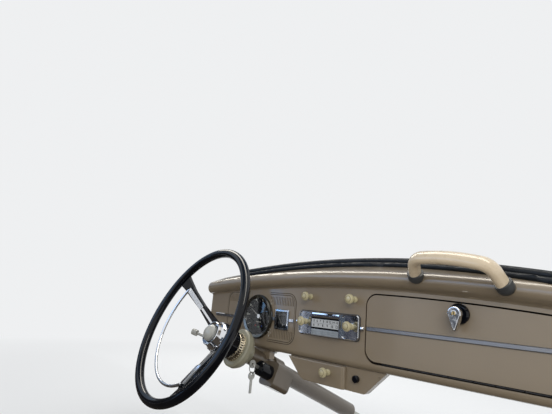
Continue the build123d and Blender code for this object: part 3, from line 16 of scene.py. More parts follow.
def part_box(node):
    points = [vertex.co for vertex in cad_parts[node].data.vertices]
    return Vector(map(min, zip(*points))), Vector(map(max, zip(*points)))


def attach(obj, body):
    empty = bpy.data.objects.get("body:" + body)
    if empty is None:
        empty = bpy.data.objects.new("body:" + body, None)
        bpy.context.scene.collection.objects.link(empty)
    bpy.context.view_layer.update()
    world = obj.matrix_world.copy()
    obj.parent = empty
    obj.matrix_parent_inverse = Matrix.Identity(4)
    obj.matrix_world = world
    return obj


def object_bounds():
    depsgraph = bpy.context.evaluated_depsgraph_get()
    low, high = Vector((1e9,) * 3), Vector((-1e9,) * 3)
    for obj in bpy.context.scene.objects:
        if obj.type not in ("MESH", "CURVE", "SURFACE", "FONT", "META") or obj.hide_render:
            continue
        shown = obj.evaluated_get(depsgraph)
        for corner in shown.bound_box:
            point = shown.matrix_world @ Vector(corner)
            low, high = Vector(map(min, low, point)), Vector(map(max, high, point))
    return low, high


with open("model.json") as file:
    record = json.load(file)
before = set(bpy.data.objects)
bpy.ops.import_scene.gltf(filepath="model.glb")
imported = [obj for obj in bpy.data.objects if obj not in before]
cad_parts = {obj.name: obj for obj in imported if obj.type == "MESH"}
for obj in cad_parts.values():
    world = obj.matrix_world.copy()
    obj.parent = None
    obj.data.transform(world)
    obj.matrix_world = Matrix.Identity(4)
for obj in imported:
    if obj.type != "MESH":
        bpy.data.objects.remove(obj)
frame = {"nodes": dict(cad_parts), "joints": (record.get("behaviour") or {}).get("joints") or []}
nodes = frame["nodes"]
cad_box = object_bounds()
print("nodes", len(nodes), "box", [[round(x, 3) for x in corner] for corner in cad_box])

# %% [markdown]
# ## Camera
# The photograph was taken from the passenger's seat with a wide lens, a little below the top of the
# dashboard, turned to the driver's side and tilted up. A camera can be set by eye until the picture
# agrees, but then every later mismatch has two possible causes. Here its place and direction were
# worked out from the known sizes of the instruments, so that a mismatch is always a piece's own.
# A camera looks along its own minus Z, so its matrix is made of three directions and a place.

# %% Camera
CAMERA_PLACE = Vector((0.5735, -0.8321, -0.1070))
CAMERA_AHEAD = Vector((-0.72035, 0.65605, 0.22515))
CAMERA_UP = Vector((0.10714, -0.21548, 0.97061))
CAMERA_LENS = 27.16
SENSOR_WIDTH = 36.0

camera_data = bpy.data.cameras.new("camera")
camera_data.sensor_width = SENSOR_WIDTH
camera_data.lens = CAMERA_LENS
camera = bpy.data.objects.new("camera", camera_data)
bpy.context.scene.collection.objects.link(camera)
camera_right = CAMERA_AHEAD.cross(CAMERA_UP).normalized()
camera_top = camera_right.cross(CAMERA_AHEAD).normalized()
turn = Matrix((camera_right, camera_top, -CAMERA_AHEAD.normalized())).transposed()
camera.matrix_world = Matrix.Translation(CAMERA_PLACE) @ turn.to_4x4()
bpy.context.scene.camera = camera
bpy.context.scene.view_settings.view_transform = "Standard"
print("camera at", CAMERA_PLACE)

# %% [markdown]
# ## Light from all around
# Inside a car the light comes from large openings. A photographed sky could give it, but an even
# world lets every colour render about as it is written, so the world carries most of the light.
# Camera, glossy and transmission rays see the pale backdrop, and only the rays that carry light
# meet the weaker lighting colour.

# %% Rays that look
def looking_ray(tree):
    """1 for camera, glossy and transmission rays, 0 for the rays that carry light."""
    path = tree.nodes.new("ShaderNodeLightPath")
    chosen = path.outputs["Is Camera Ray"]
    for ray in ("Is Glossy Ray", "Is Transmission Ray"):
        either = tree.nodes.new("ShaderNodeMath")
        either.operation = "MAXIMUM"
        tree.links.new(chosen, either.inputs[0])
        tree.links.new(path.outputs[ray], either.inputs[1])
        chosen = either.outputs[0]
    return chosen


# %% World
BACKDROP = (0.86, 0.87, 0.88)
WORLD_LIGHT = (0.84, 0.87, 0.92)
WORLD_STRENGTH = 0.62

world = bpy.data.worlds.new("world")
bpy.context.scene.world = world
world.use_nodes = True
tree = world.node_tree
tree.nodes.clear()
output = tree.nodes.new("ShaderNodeOutputWorld")
seen = tree.nodes.new("ShaderNodeBackground")
seen.inputs["Color"].default_value = (*BACKDROP, 1)
lit = tree.nodes.new("ShaderNodeBackground")
lit.inputs["Color"].default_value = (*WORLD_LIGHT, 1)
lit.inputs["Strength"].default_value = WORLD_STRENGTH
shown = tree.nodes.new("ShaderNodeMixShader")
tree.links.new(looking_ray(tree), shown.inputs[0])
tree.links.new(lit.outputs[0], shown.inputs[1])
tree.links.new(seen.outputs[0], shown.inputs[2])
tree.links.new(shown.outputs[0], output.inputs["Surface"])
print("world light", WORLD_STRENGTH)

# %% [markdown]
# ## Lamps
# Four large area lamps add a direction to the even light: the sky overhead, a low one ahead of the
# dashboard, a weak one on the driver's side and a stronger one on the passenger's side. Small lamps
# would draw hard spots on the enamel. A lamp in a mirror is a flat white shape that hides the form
# of the chrome, so no glossy ray sees these lamps.

# %% Lamps
# name, place, aim, width, height, watts, colour
LAMPS = [
    ("sky_lamp", (0.3, 1.1, 1.6), (0.0, -0.05, -0.10), 2.6, 1.2, 24, (0.96, 0.98, 1.0)),
    ("front_lamp", (-1.65, 1.30, 0.58), (-0.1, 0.0, -0.05), 1.7, 0.7, 12, (1.0, 0.99, 0.96)),
    ("left_lamp", (-1.9, -1.5, 0.7), (-0.1, -0.1, -0.15), 1.6, 1.2, 4, (1.0, 0.97, 0.92)),
    ("right_lamp", (1.5, -1.5, 0.75), (0.1, -0.05, -0.15), 1.4, 1.0, 20, (1.0, 0.98, 0.94)),
]
for name, place, aim, width, height, watts, colour in LAMPS:
    data = bpy.data.lights.new(name, "AREA")
    data.shape = "RECTANGLE"
    data.size = width
    data.size_y = height
    data.energy = watts
    data.color = colour
    lamp = bpy.data.objects.new(name, data)
    bpy.context.scene.collection.objects.link(lamp)
    lamp.location = place
    lamp.rotation_euler = (Vector(aim) - Vector(place)).to_track_quat("-Z", "Y").to_euler()
    lamp.visible_camera = False
    lamp.visible_glossy = False
print("lamps", len(LAMPS))

# %% [markdown]
# ## Cards for the bright metal
# Chrome shows only what it mirrors, and with a pale world round it, it looks like white paint. A
# photographer hangs cards round such a piece. Here they are planes that only glossy rays see, so
# that each can be placed for one effect without changing the light on the enamel.
# The flat faces of the radio, the gauge and the lid's lock mirror a wall behind the driver. The
# cards on that wall are dark, with one pale glint between them, and a small blue one stands where
# the domed glass of the speedometer looks. Overhead a long narrow strip draws the fine line of light
# along the roll of the shelf. The other cards keep the wheel's chrome from going flat.

# %% Planes of the studio
def stage_plane(name, place, aim, width, height):
    """A flat sheet of the studio that faces a point."""
    x, y = width / 2, height / 2
    mesh = bpy.data.meshes.new(name)
    mesh.from_pydata([(-x, -y, 0), (x, -y, 0), (x, y, 0), (-x, y, 0)], [], [(0, 1, 2, 3)])
    plane = bpy.data.objects.new(name, mesh)
    bpy.context.scene.collection.objects.link(plane)
    plane.location = place
    plane.rotation_euler = (Vector(aim) - Vector(place)).to_track_quat("Z", "Y").to_euler()
    return plane


# %% Places and tones of the cards
WALL_Y = -2.1
LOW_CARD_GAP = 0.006
LOW_CARD_Z = cad_box[0][2] - LOW_CARD_GAP

# name, place, aim, width, height, colour, strength
CARDS = [
    ("blue_card", (-0.9, 0.0, 1.7), (-0.1, -0.1, -0.1), 3.2, 1.5, (0.36, 0.52, 0.80), 0.4),
    ("roof_strip", (-0.90, 0.05, 1.35), (-0.917, -0.05, 0.0), 4.6, 0.42, (1.0, 0.95, 0.86), 8.0),
    ("ahead_card", (-1.5, 1.9, 0.75), (-0.1, 0.0, 0.0), 3.4, 0.9, (0.16, 0.17, 0.18), 1.0),
    ("left_dark_card", (-2.3, -0.8, -0.05), (0.0, -0.8, -0.05), 2.6, 0.80, (0.05, 0.048, 0.05), 1.0),
    ("left_sky_card", (-2.3, -0.8, 0.75), (0.0, -0.8, 0.0), 2.6, 0.70, (0.45, 0.56, 0.72), 1.0),
    ("lock_card", (-0.66, WALL_Y, -0.08), (-0.66, 0.0, -0.08), 0.26, 0.22, (0.10, 0.11, 0.13), 1.0),
    ("mid_card", (-1.30, WALL_Y, -0.15), (-1.30, 0.0, -0.15), 0.34, 0.64, (0.12, 0.125, 0.15), 1.0),
    ("shade_card", (-1.76, WALL_Y, -0.15), (-1.76, 0.0, -0.15), 0.57, 0.64, (0.045, 0.05, 0.07), 1.0),
    ("glint_card", (-2.20, WALL_Y, -0.20), (-2.20, 0.0, -0.20), 0.28, 0.54, (0.60, 0.66, 0.78), 1.0),
    ("dial_card", (-3.1, -2.15, -0.1), (-3.1, 0.0, -0.1), 2.0, 0.9, (0.02, 0.022, 0.025), 1.0),
    ("patch_card", (-2.22, -1.88, -0.07), (-0.29, 0.0, -0.07), 0.17, 0.18, (0.20, 0.48, 0.92), 3.5),
    ("side_card", (-1.5, -2.2, 0.75), (-0.3, -0.1, -0.1), 3.4, 1.0, (0.42, 0.60, 0.92), 2.4),
    ("right_card", (1.5, -1.9, 0.1), (-0.4, -0.3, -0.1), 1.3, 1.3, (0.10, 0.12, 0.15), 1.0),
    ("low_card", (-0.4, -0.9, LOW_CARD_Z), (-0.4, -0.9, 1.0), 3.0, 2.0, (0.07, 0.06, 0.05), 1.0),
]
print("low card at z", round(LOW_CARD_Z, 4))

# %% Cards
for name, place, aim, width, height, colour, strength in CARDS:
    card = stage_plane(name, place, aim, width, height)
    card.visible_camera = False
    card.visible_diffuse = False
    card.visible_transmission = False
    card.visible_shadow = False
    paper = bpy.data.materials.new(name)
    paper.use_nodes = True
    tree = paper.node_tree
    tree.nodes.clear()
    glow = tree.nodes.new("ShaderNodeEmission")
    glow.inputs["Color"].default_value = (*colour, 1)
    glow.inputs["Strength"].default_value = strength
    tree.links.new(glow.outputs[0], tree.nodes.new("ShaderNodeOutputMaterial").inputs["Surface"])
    card.data.materials.append(paper)
print("cards", len(CARDS))

# %% [markdown]
# ## Floor
# The dashboard is held by its flange, so it hangs a little above a matt paper floor. A floor that
# ends would show its edge, and a curved backdrop would stand in the way of views from behind. Here
# the far part glows in the backdrop's colour, but only for the rays that look at it, so it adds no
# light.
# For the rays that carry light the paper is darker, as the floor of a car is, and the underside of
# the dashboard keeps its shade.

# %% Floor
FLOOR_GAP = 0.012
FLOOR_SIZE = 24.0

floor_z = cad_box[0][2] - FLOOR_GAP
floor = stage_plane("floor", (0, 0, floor_z), (0, 0, floor_z + 1), FLOOR_SIZE, FLOOR_SIZE)
paper = bpy.data.materials.new("floor_paper")
paper.use_nodes = True
floor.data.materials.append(paper)
print("floor at", round(floor_z, 4))

# %% Tone of the floor
FLOOR_COLOUR = (0.80, 0.80, 0.79)
FLOOR_SHADE = (0.34, 0.32, 0.30)
FLOOR_ROUGHNESS = 0.85

tree = paper.node_tree
matt = tree.nodes["Principled BSDF"]
matt.inputs["Roughness"].default_value = FLOOR_ROUGHNESS
tone = tree.nodes.new("ShaderNodeMix")
tone.data_type = "RGBA"
tone.inputs["A"].default_value = (*FLOOR_SHADE, 1)
tone.inputs["B"].default_value = (*FLOOR_COLOUR, 1)
tree.links.new(looking_ray(tree), tone.inputs["Factor"])
tree.links.new(tone.outputs["Result"], matt.inputs["Base Color"])
print("floor seen as", FLOOR_COLOUR, "lights as", FLOOR_SHADE)

# %% Far part of the floor
FADE_START = 0.7
FADE_END = 2.6

glow = tree.nodes.new("ShaderNodeEmission")
glow.inputs["Color"].default_value = (*BACKDROP, 1)
where = tree.nodes.new("ShaderNodeTexCoord")
distance = tree.nodes.new("ShaderNodeVectorMath")
distance.operation = "LENGTH"
fade = tree.nodes.new("ShaderNodeMapRange")
fade.inputs["From Min"].default_value = FADE_START
fade.inputs["From Max"].default_value = FADE_END
only = tree.nodes.new("ShaderNodeMath")
only.operation = "MULTIPLY"
mixed = tree.nodes.new("ShaderNodeMixShader")
tree.links.new(where.outputs["Object"], distance.inputs[0])
tree.links.new(distance.outputs["Value"], fade.inputs["Value"])
tree.links.new(fade.outputs["Result"], only.inputs[0])
tree.links.new(looking_ray(tree), only.inputs[1])
tree.links.new(only.outputs[0], mixed.inputs[0])
tree.links.new(matt.outputs[0], mixed.inputs[1])
tree.links.new(glow.outputs[0], mixed.inputs[2])
tree.links.new(mixed.outputs[0], tree.nodes["Material Output"].inputs["Surface"])
print("floor fades from", FADE_START, "to", FADE_END)


# %% [markdown]
# ## Finishes
# Each finish is one Principled shader with what makes the real surface uneven: enamel has a slight
# orange peel and a change of tone, chrome has fine wiping marks, moulded plastic has pores and dull
# patches. Painted image textures could show such marks too, but they need each mesh laid out flat,
# while a noise texture works on any piece. The textures read object coordinates, which are metres
# here, so a scale of 1000 makes marks of about a millimetre.

# %% Base of a finish
def finish(name, colour, roughness, metallic=0.0, **sockets):
    """A material with one Principled shader; sockets are extra input values by name."""
    material = bpy.data.materials.new(name)
    material.use_nodes = True
    bsdf = material.node_tree.nodes["Principled BSDF"]
    bsdf.inputs["Base Color"].default_value = (*colour, 1)
    bsdf.inputs["Roughness"].default_value = roughness
    bsdf.inputs["Metallic"].default_value = metallic
    for key, value in sockets.items():
        bsdf.inputs[key.replace("_", " ")].default_value = value
    material.diffuse_color = (*colour, 1)
    return material


# %% Marks of a finish
def noise(material, scale, detail=3.0, stretch=(1, 1, 1)):
    """A noise texture in metres, stretched along the axes that the real marks follow."""
    tree = material.node_tree
    where = tree.nodes.new("ShaderNodeTexCoord")
    mapping = tree.nodes.new("ShaderNodeMapping")
    mapping.inputs["Scale"].default_value = stretch
    texture = tree.nodes.new("ShaderNodeTexNoise")
    texture.inputs["Scale"].default_value = scale
    texture.inputs["Detail"].default_value = detail
    tree.links.new(where.outputs["Object"], mapping.inputs["Vector"])
    tree.links.new(mapping.outputs["Vector"], texture.inputs["Vector"])
    return texture.outputs["Fac"]


def ramp(material, value, low, high, start=0.35, end=0.65):
    """Turns a texture value into one between two limits."""
    node = material.node_tree.nodes.new("ShaderNodeMapRange")
    node.inputs["From Min"].default_value = start
    node.inputs["From Max"].default_value = end
    node.inputs["To Min"].default_value = low
    node.inputs["To Max"].default_value = high
    material.node_tree.links.new(value, node.inputs["Value"])
    return node.outputs["Result"]


# %% What the marks change
def vary_colour(material, value, first, second, start=0.35, end=0.65):
    """Base colour that changes between two tones with a texture value."""
    tree = material.node_tree
    mix = tree.nodes.new("ShaderNodeMix")
    mix.data_type = "RGBA"
    mix.inputs["A"].default_value = (*first, 1)
    mix.inputs["B"].default_value = (*second, 1)
    tree.links.new(ramp(material, value, 0, 1, start, end), mix.inputs["Factor"])
    tree.links.new(mix.outputs["Result"], tree.nodes["Principled BSDF"].inputs["Base Color"])


def vary_roughness(material, value, low, high):
    """Gloss that changes between two values with a texture value."""
    tree = material.node_tree
    tree.links.new(ramp(material, value, low, high), tree.nodes["Principled BSDF"].inputs["Roughness"])


def bump(material, value, strength, distance):
    """Relief of the given height in metres."""
    tree = material.node_tree
    node = tree.nodes.new("ShaderNodeBump")
    node.inputs["Strength"].default_value = strength
    node.inputs["Distance"].default_value = distance
    tree.links.new(value, node.inputs["Height"])
    tree.links.new(node.outputs["Normal"], tree.nodes["Principled BSDF"].inputs["Normal"])


# %% [markdown]
# ## Enamel
# The pressing is stove enamelled: a coloured coat under a thin clear gloss. One shader with its own
# coat layer gives both, the soft colour below and the sharp line of light above it. The column tube
# and the lock's housing have the same enamel in a darker tan: their own tan with painted shade in it,
# for the shade they lie in under the dashboard.

# %% Enamel
ENAMEL_ROUGHNESS = 0.34
ENAMEL_PEEL = 0.0004


def enamel(name, colour, shade):
    """Stove enamel on steel: slight orange peel, a slow change of tone, a thin clear gloss."""
    material = finish(name, colour, ENAMEL_ROUGHNESS, Coat_Weight=0.8, Coat_Roughness=0.10)
    vary_colour(material, noise(material, 7, 4), colour, [c * shade for c in colour], 0.3, 0.7)
    vary_roughness(material, noise(material, 55, 5), 0.28, 0.42)
    bump(material, noise(material, 420, 2), 0.10, ENAMEL_PEEL)
    return material


beige = enamel("beige_enamel", (0.268, 0.213, 0.145), 0.90)
# the darker tan is partly painted shade, for the shade under the dashboard
tan_with_shade = enamel("tan_enamel_painted_shade", (0.130, 0.102, 0.070), 0.86)
print("enamels", beige.name, tan_with_shade.name)

# %% [markdown]
# ## Bright metals
# Chrome, brushed aluminium, zinc plate and brass differ in tint and in how rough the rubbing has
# left them, so one function makes them all. The brushed strip on the lid has its noise stretched
# along the strip, as the brush went. The speedometer's bezel lies behind the wheel, where there is
# little to mirror, so its chrome has a dark warm tint: painted shade and painted reflection of the
# dark cabin and the beige dash. The frame of the distance counter has the same chrome.

# %% Bright metals
METAL_RELIEF = 0.0002


def bright_metal(name, colour, roughness, spread, stretch=(1, 1, 1)):
    """Bare or plated metal with fine wiping marks."""
    material = finish(name, colour, roughness, 1.0)
    vary_roughness(material, noise(material, 160, 5, stretch), roughness, roughness + spread)
    bump(material, noise(material, 700, 3, stretch), 0.05, METAL_RELIEF)
    return material


chrome = bright_metal("chrome", (0.80, 0.81, 0.83), 0.05, 0.10)
# dark warm tint: painted shade and painted reflection in the chrome's colour
chrome_with_painted_shade = bright_metal("chrome_with_painted_shade", (0.17, 0.165, 0.145), 0.12, 0.12)
aluminium = bright_metal("aluminium", (0.34, 0.34, 0.35), 0.24, 0.16, (0.05, 1, 1))
zinc = bright_metal("zinc_steel", (0.50, 0.50, 0.47), 0.38, 0.20)
dark_steel = bright_metal("dark_steel", (0.06, 0.055, 0.05), 0.45, 0.2)
ring_metal = bright_metal("ring_metal", (0.74, 0.66, 0.50), 0.16, 0.16)
brass = bright_metal("brass", (0.60, 0.42, 0.18), 0.30, 0.15)
METALS = (chrome, chrome_with_painted_shade, aluminium, zinc, dark_steel, ring_metal, brass)
print("metals", [metal.name for metal in METALS])

# %% [markdown]
# ## Mouldings, rubber, board and glass
# The wheel is a hard black moulding, the knobs are ivory, the grab handle is cream, and the seal and
# the handle's feet are rubber. They are all one dull or glossy body with pores and rubbed patches,
# so one function serves for them, and for the printed marks and the fibre board too. Glass needs no
# marks: only what it mirrors and lets through.

# %% Mouldings
PORE_DEPTH = 0.0002


def moulding(name, colour, shade, roughness, coat, specular=0.5):
    """Moulded plastic: dull patches where hands rub it, pores, and a slight change of tone."""
    material = finish(name, colour, roughness, Coat_Weight=coat, Coat_Roughness=0.08,
                      Specular_IOR_Level=specular)
    vary_colour(material, noise(material, 30, 4), colour, [c * shade for c in colour])
    vary_roughness(material, noise(material, 90, 5), roughness * 0.8, roughness * 1.4)
    bump(material, noise(material, 900, 2), 0.06, PORE_DEPTH)
    return material


black = moulding("black_moulding", (0.004, 0.005, 0.008), 0.6, 0.10, 0.0, 0.32)
ivory = moulding("ivory_moulding", (0.57, 0.51, 0.31), 0.84, 0.28, 0.4)
knob_brown = moulding("knob_brown", (0.22, 0.165, 0.09), 0.8, 0.35, 0.2)
white_ivory = moulding("white_ivory", (0.46, 0.46, 0.42), 0.84, 0.30, 0.2)
cream = moulding("cream_moulding", (0.74, 0.61, 0.43), 0.92, 0.30, 0.6)
collar_ivory = moulding("collar_ivory", (0.38, 0.36, 0.26), 0.84, 0.36, 0.1)
pale_plastic = moulding("pale_plastic", (0.58, 0.60, 0.61), 0.9, 0.3, 0.3)
key_plastic = moulding("key_plastic", (0.34, 0.38, 0.42), 0.8, 0.25, 0.3)
print("wheel", black.name, "knobs", ivory.name, "handle", cream.name)

# %% Rubber, dials, board and glass
rubber = moulding("grey_rubber", (0.060, 0.064, 0.066), 0.7, 0.40, 0.0)
black_rubber = moulding("black_rubber", (0.010, 0.013, 0.017), 0.7, 0.45, 0.0, 0.25)
dial_black = moulding("dial_black", (0.006, 0.006, 0.007), 0.8, 0.6, 0.0, 0.2)
needle_white = moulding("needle_white", (0.75, 0.72, 0.62), 0.95, 0.4, 0.0)
faded_white = moulding("faded_white", (0.26, 0.25, 0.23), 0.8, 0.5, 0.0)
felt_and_shade = moulding("felt_board_and_painted_shade", (0.10, 0.082, 0.06), 0.7, 0.85, 0.0)
board = moulding("fibre_board", (0.10, 0.075, 0.05), 0.7, 0.8, 0.0)
glass = finish("clear_glass", (0.96, 0.98, 1.0), 0.02, Transmission_Weight=1.0, IOR=1.45)
print("materials", len(bpy.data.materials))

# %% [markdown]
# ## Which piece gets which finish
# The construction's pieces keep their own meshes and only take a material. One table tells the
# whole story of the object: what is enamelled, what is plated, what is moulded.

# %% Finishes on the pieces
FINISHES = {
    "dash_panel": beige, "scuttle_flange": beige, "end_flanges": beige, "ashtray_panel": beige,
    "glovebox_lid": beige, "ashtray_drawer": beige, "column_bracket": beige,
    "column_tube": tan_with_shade, "lock_housing": tan_with_shade,
    "radio_face": chrome, "fuel_gauge_bezel": chrome, "trim_strips": chrome, "lid_lock": chrome,
    "horn_ring": chrome, "speedometer_bezel": chrome_with_painted_shade, "collar_ring": ring_metal,
    "lid_trim": aluminium, "column_bushes": brass,
    "speedometer_case": zinc, "fuel_gauge_case": zinc, "radio_body": zinc, "keys": zinc,
    "steering_shaft": zinc, "lid_hinge": dark_steel, "lid_hinge_leaves": dark_steel,
    "speedometer_dial": dial_black, "fuel_gauge_dial": dial_black,
    "speedometer_needle": faded_white, "fuel_gauge_needle": faded_white,
    "speedometer_glass": glass, "fuel_gauge_glass": glass,
    "radio_scale": pale_plastic, "radio_buttons": key_plastic,
    "radio_knobs": ivory, "switch_knobs": ivory, "ashtray_knob": ivory,
    "indicator_stalk": white_ivory, "horn_button": white_ivory, "signal_housing": collar_ivory,
    "lower_knob": black, "lock_base": black, "ignition_barrel": black,
    "wheel_rim": black, "wheel_spokes": black, "hub_shroud": black,
    "grab_handle": cream, "handle_sockets": rubber, "radio_gasket": rubber, "shelf_seal": black_rubber,
    "grille_boards": felt_and_shade, "glovebox_liner": board,
}
for name, node in nodes.items():
    node.data.materials.clear()
    node.data.materials.append(FINISHES[name])
print("finished", len(FINISHES), "nodes")

# %% [markdown]
# ## Small pieces
# Marks, ribs, screws and nuts are too fine for construction solids, so they are made here as meshes.
# Each could be an object of its own, but a bmesh can be filled with many boxes, rods and rings, each
# set in place by a matrix, and then becomes one object: that keeps one name for each kind of small
# piece. Every place is read from the frame, so the pieces follow when the construction changes.

# %% Places
MM = 0.001
FORWARD = Vector((0, 1, 0))
TO_SEAT = Vector((0, -1, 0))
UPWARD = Vector((0, 0, 1))
DOWNWARD = Vector((0, 0, -1))


def centre(node):
    """The middle of a node's box."""
    low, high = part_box(node)
    return (low + high) / 2


def set_at(point, direction):
    """A matrix at the point whose Z axis points along the direction."""
    return Matrix.Translation(point) @ direction.to_track_quat("Z", "Y").to_matrix().to_4x4()


# %% Boxes and rods
def box_at(bm, place, width, height, depth):
    """A box about the place, with its sides along the place's axes."""
    size = Matrix.Diagonal((width, height, depth, 1))
    bmesh.ops.create_cube(bm, size=1, matrix=place @ size)


def rod_at(bm, place, radius, length, top=None, sides=24):
    """A rod or cone whose foot is at the place and which rises along its Z axis."""
    bmesh.ops.create_cone(bm, cap_ends=True, segments=sides, radius1=radius,
                          radius2=radius if top is None else top, depth=length,
                          matrix=place @ Matrix.Translation((0, 0, length / 2)))


# %% Turned rings
def circle_at(bm, place, radius, height, sides):
    """The corners of one circle about the place's Z axis."""
    corners = []
    for index in range(sides):
        angle = 2 * math.pi * index / sides
        corner = Vector((radius * math.cos(angle), radius * math.sin(angle), height))
        corners.append(bm.verts.new(place @ corner))
    return corners


def join_loops(bm, first, second):
    """Faces between two closed loops that have as many corners."""
    for index, corner in enumerate(first):
        after = (index + 1) % len(first)
        bm.faces.new((corner, first[after], second[after], second[index]))


def lathe_at(bm, place, profile, sides=32):
    """A closed ring turned about the place's Z axis, from corners given as radius and height."""
    circles = [circle_at(bm, place, radius, height, sides) for radius, height in profile]
    for first, second in zip(circles, circles[1:] + circles[:1]):
        join_loops(bm, first, second)


# %% Domes
def dome_at(bm, place, radius, rise, sides=24, steps=5):
    """A low dome on a flat foot, rising along the place's Z axis."""
    circles = []
    for step in range(steps):
        lift = math.pi / 2 * step / steps
        circles.append(circle_at(bm, place, radius * math.cos(lift), rise * math.sin(lift), sides))
    peak = bm.verts.new(place @ Vector((0, 0, rise)))
    for first, second in zip(circles, circles[1:]):
        join_loops(bm, first, second)
    for index in range(sides):
        bm.faces.new((circles[-1][index], circles[-1][(index + 1) % sides], peak))
    bm.faces.new(list(reversed(circles[0])))


# %% From a bmesh to a piece
SHARP_ANGLE = math.radians(35)
counts = {}


def make(name, body, material, bm, smooth=False):
    """Turns a bmesh into a piece that rides on a body."""
    bmesh.ops.recalc_face_normals(bm, faces=bm.faces)
    mesh = bpy.data.meshes.new(name)
    bm.to_mesh(mesh)
    bm.free()
    if smooth:
        mesh.shade_smooth()
        mesh.set_sharp_from_angle(angle=SHARP_ANGLE)
    mesh.materials.append(material)
    piece = bpy.data.objects.new(name, mesh)
    bpy.context.scene.collection.objects.link(piece)
    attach(piece, body)
    counts[name] = len(mesh.polygons)
    print(name, "on", body, "with", counts[name], "faces")
    return piece


# %% [markdown]
# ## The speedometer's marks
# The real marks are printed on a dial whose outer ring rises to the glass. Flat text laid on a cone
# would sink into it, so each corner of a number is bent on: its height becomes a radius, its width
# an angle, and the dial's own profile gives how far forward it lies.

# %% Plain numbers
PRINT_THICKNESS = 0.12 * MM
PRINT_WEIGHT = 0.02


def number_mesh(text, size):
    """Plain numbers as a thin solid mesh about the origin."""
    curve = bpy.data.curves.new("numbers", "FONT")
    curve.body = text
    curve.size = size
    curve.align_x = "CENTER"
    curve.align_y = "CENTER"
    curve.extrude = PRINT_THICKNESS / 2
    curve.offset = PRINT_WEIGHT * size
    curve.resolution_u = 3
    holder = bpy.data.objects.new("numbers", curve)
    mesh = bpy.data.meshes.new_from_object(holder)
    bpy.data.objects.remove(holder)
    return mesh


# %% Numbers that can be bent
SAME_CORNER = 0.002 * MM


def print_number(bm, text, size, bend):
    """Adds numbers to a bmesh; bend moves each corner to where it lies."""
    mesh = number_mesh(text, size)
    known = set(bm.verts)
    bm.from_mesh(mesh)
    fresh = [vertex for vertex in bm.verts if vertex not in known]
    for vertex in fresh:
        vertex.co = bend(vertex.co)
    bmesh.ops.remove_doubles(bm, verts=fresh, dist=SAME_CORNER)
    bpy.data.meshes.remove(mesh)


def flat_at(x, front, z):
    """A bend that only moves a number to a place on a flat front."""
    def bend(corner):
        return Vector((x + corner.x, front - PRINT_THICKNESS - corner.z, z + corner.y))
    return bend


# %% The dial's surface
DISH_INNER = 39 * MM
DISH_OUTER = 49 * MM
DISH_RISE = 5.2 * MM
dial_centre = centre("speedometer_dial")
# the needle's back lies on the flat middle of the dial
dial_flat_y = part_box("speedometer_needle")[1].y


def on_speedometer(radius, angle, lift):
    """A point on the dial: angle in degrees clockwise from the top, lift towards the driver."""
    slope = max(0.0, radius - DISH_INNER) / (DISH_OUTER - DISH_INNER) * DISH_RISE
    turn = math.radians(angle)
    return Vector((dial_centre.x + radius * math.sin(turn), dial_flat_y - slope - lift,
                   dial_centre.z + radius * math.cos(turn)))


def dial_number(radius, angle):
    """Bends a number to the dial about a radius and an angle."""
    def bend(corner):
        reach = radius + corner.y
        return on_speedometer(reach, angle + math.degrees(corner.x / radius), PRINT_THICKNESS + corner.z)
    return bend


print("dial flat at y", round(dial_flat_y, 4))


# %% A straight mark
def dial_stroke(bm, inner, outer, width, angle):
    """A straight mark between two radii."""
    half = math.degrees(width / 2 / outer)
    corners = [on_speedometer(radius, angle + side * half, lift)
               for lift in (0.0, PRINT_THICKNESS)
               for radius, side in ((inner, -1), (inner, 1), (outer, 1), (outer, -1))]
    verts = [bm.verts.new(corner) for corner in corners]
    for face in ((0, 1, 2, 3), (4, 5, 6, 7), (0, 1, 5, 4), (1, 2, 6, 5), (2, 3, 7, 6), (3, 0, 4, 7)):
        bm.faces.new([verts[i] for i in face])


# %% Speedometer marks
SPEED_SWEEP = 120.0
SPEED_STEP = 20
SPEED_TOP = 140
MARK_START = DISH_INNER + 0.6 * MM
LONG_MARK_END = DISH_INNER + 3.4 * MM
SHORT_MARK_END = DISH_INNER + 2.2 * MM
LONG_MARK_WIDTH = 1.1 * MM
SHORT_MARK_WIDTH = 0.7 * MM
NUMBER_RADIUS = DISH_INNER + 6.4 * MM
NUMBER_SIZE = 5.6 * MM

marks = bmesh.new()
half_steps = 2 * SPEED_TOP // SPEED_STEP
for index in range(half_steps + 1):
    angle = -SPEED_SWEEP + 2 * SPEED_SWEEP * index / half_steps
    if index % 2 == 0:
        dial_stroke(marks, MARK_START, LONG_MARK_END, LONG_MARK_WIDTH, angle)
        print_number(marks, str(SPEED_STEP * index // 2), NUMBER_SIZE, dial_number(NUMBER_RADIUS, angle))
    else:
        dial_stroke(marks, MARK_START, SHORT_MARK_END, SHORT_MARK_WIDTH, angle)
make("speedometer_marks", "dash", needle_white, marks)

# %% [markdown]
# ## What stands on the dial
# A bright cap covers the needle's shaft, a small frame holds the digits of the distance counter, and
# three little coloured lenses are the warning lamps. Cut-outs in the dial could hold them, but they
# are only about a millimetre high, so they stand on the dial as thin reliefs.

# %% Needle cap
CAP_RADIUS = 6.2 * MM
CAP_SHOULDER = 5.4 * MM
CAP_BORE = 1.0 * MM
CAP_EDGE = 0.8 * MM
CAP_HEIGHT = 1.4 * MM
CAP_SINK = 0.2 * MM
PIN_RADIUS = 1.2 * MM
PIN_LENGTH = 1.5 * MM

cap = bmesh.new()
needle_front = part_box("speedometer_needle")[0].y
cap_place = set_at(Vector((dial_centre.x, needle_front + CAP_SINK, dial_centre.z)), TO_SEAT)
lathe_at(cap, cap_place, [(CAP_RADIUS, 0), (CAP_RADIUS, CAP_EDGE), (CAP_SHOULDER, CAP_HEIGHT),
                          (CAP_BORE, CAP_HEIGHT), (CAP_BORE, 0)])
rod_at(cap, cap_place, PIN_RADIUS, PIN_LENGTH)
make("speedometer_cap", "dash", chrome, cap, True)

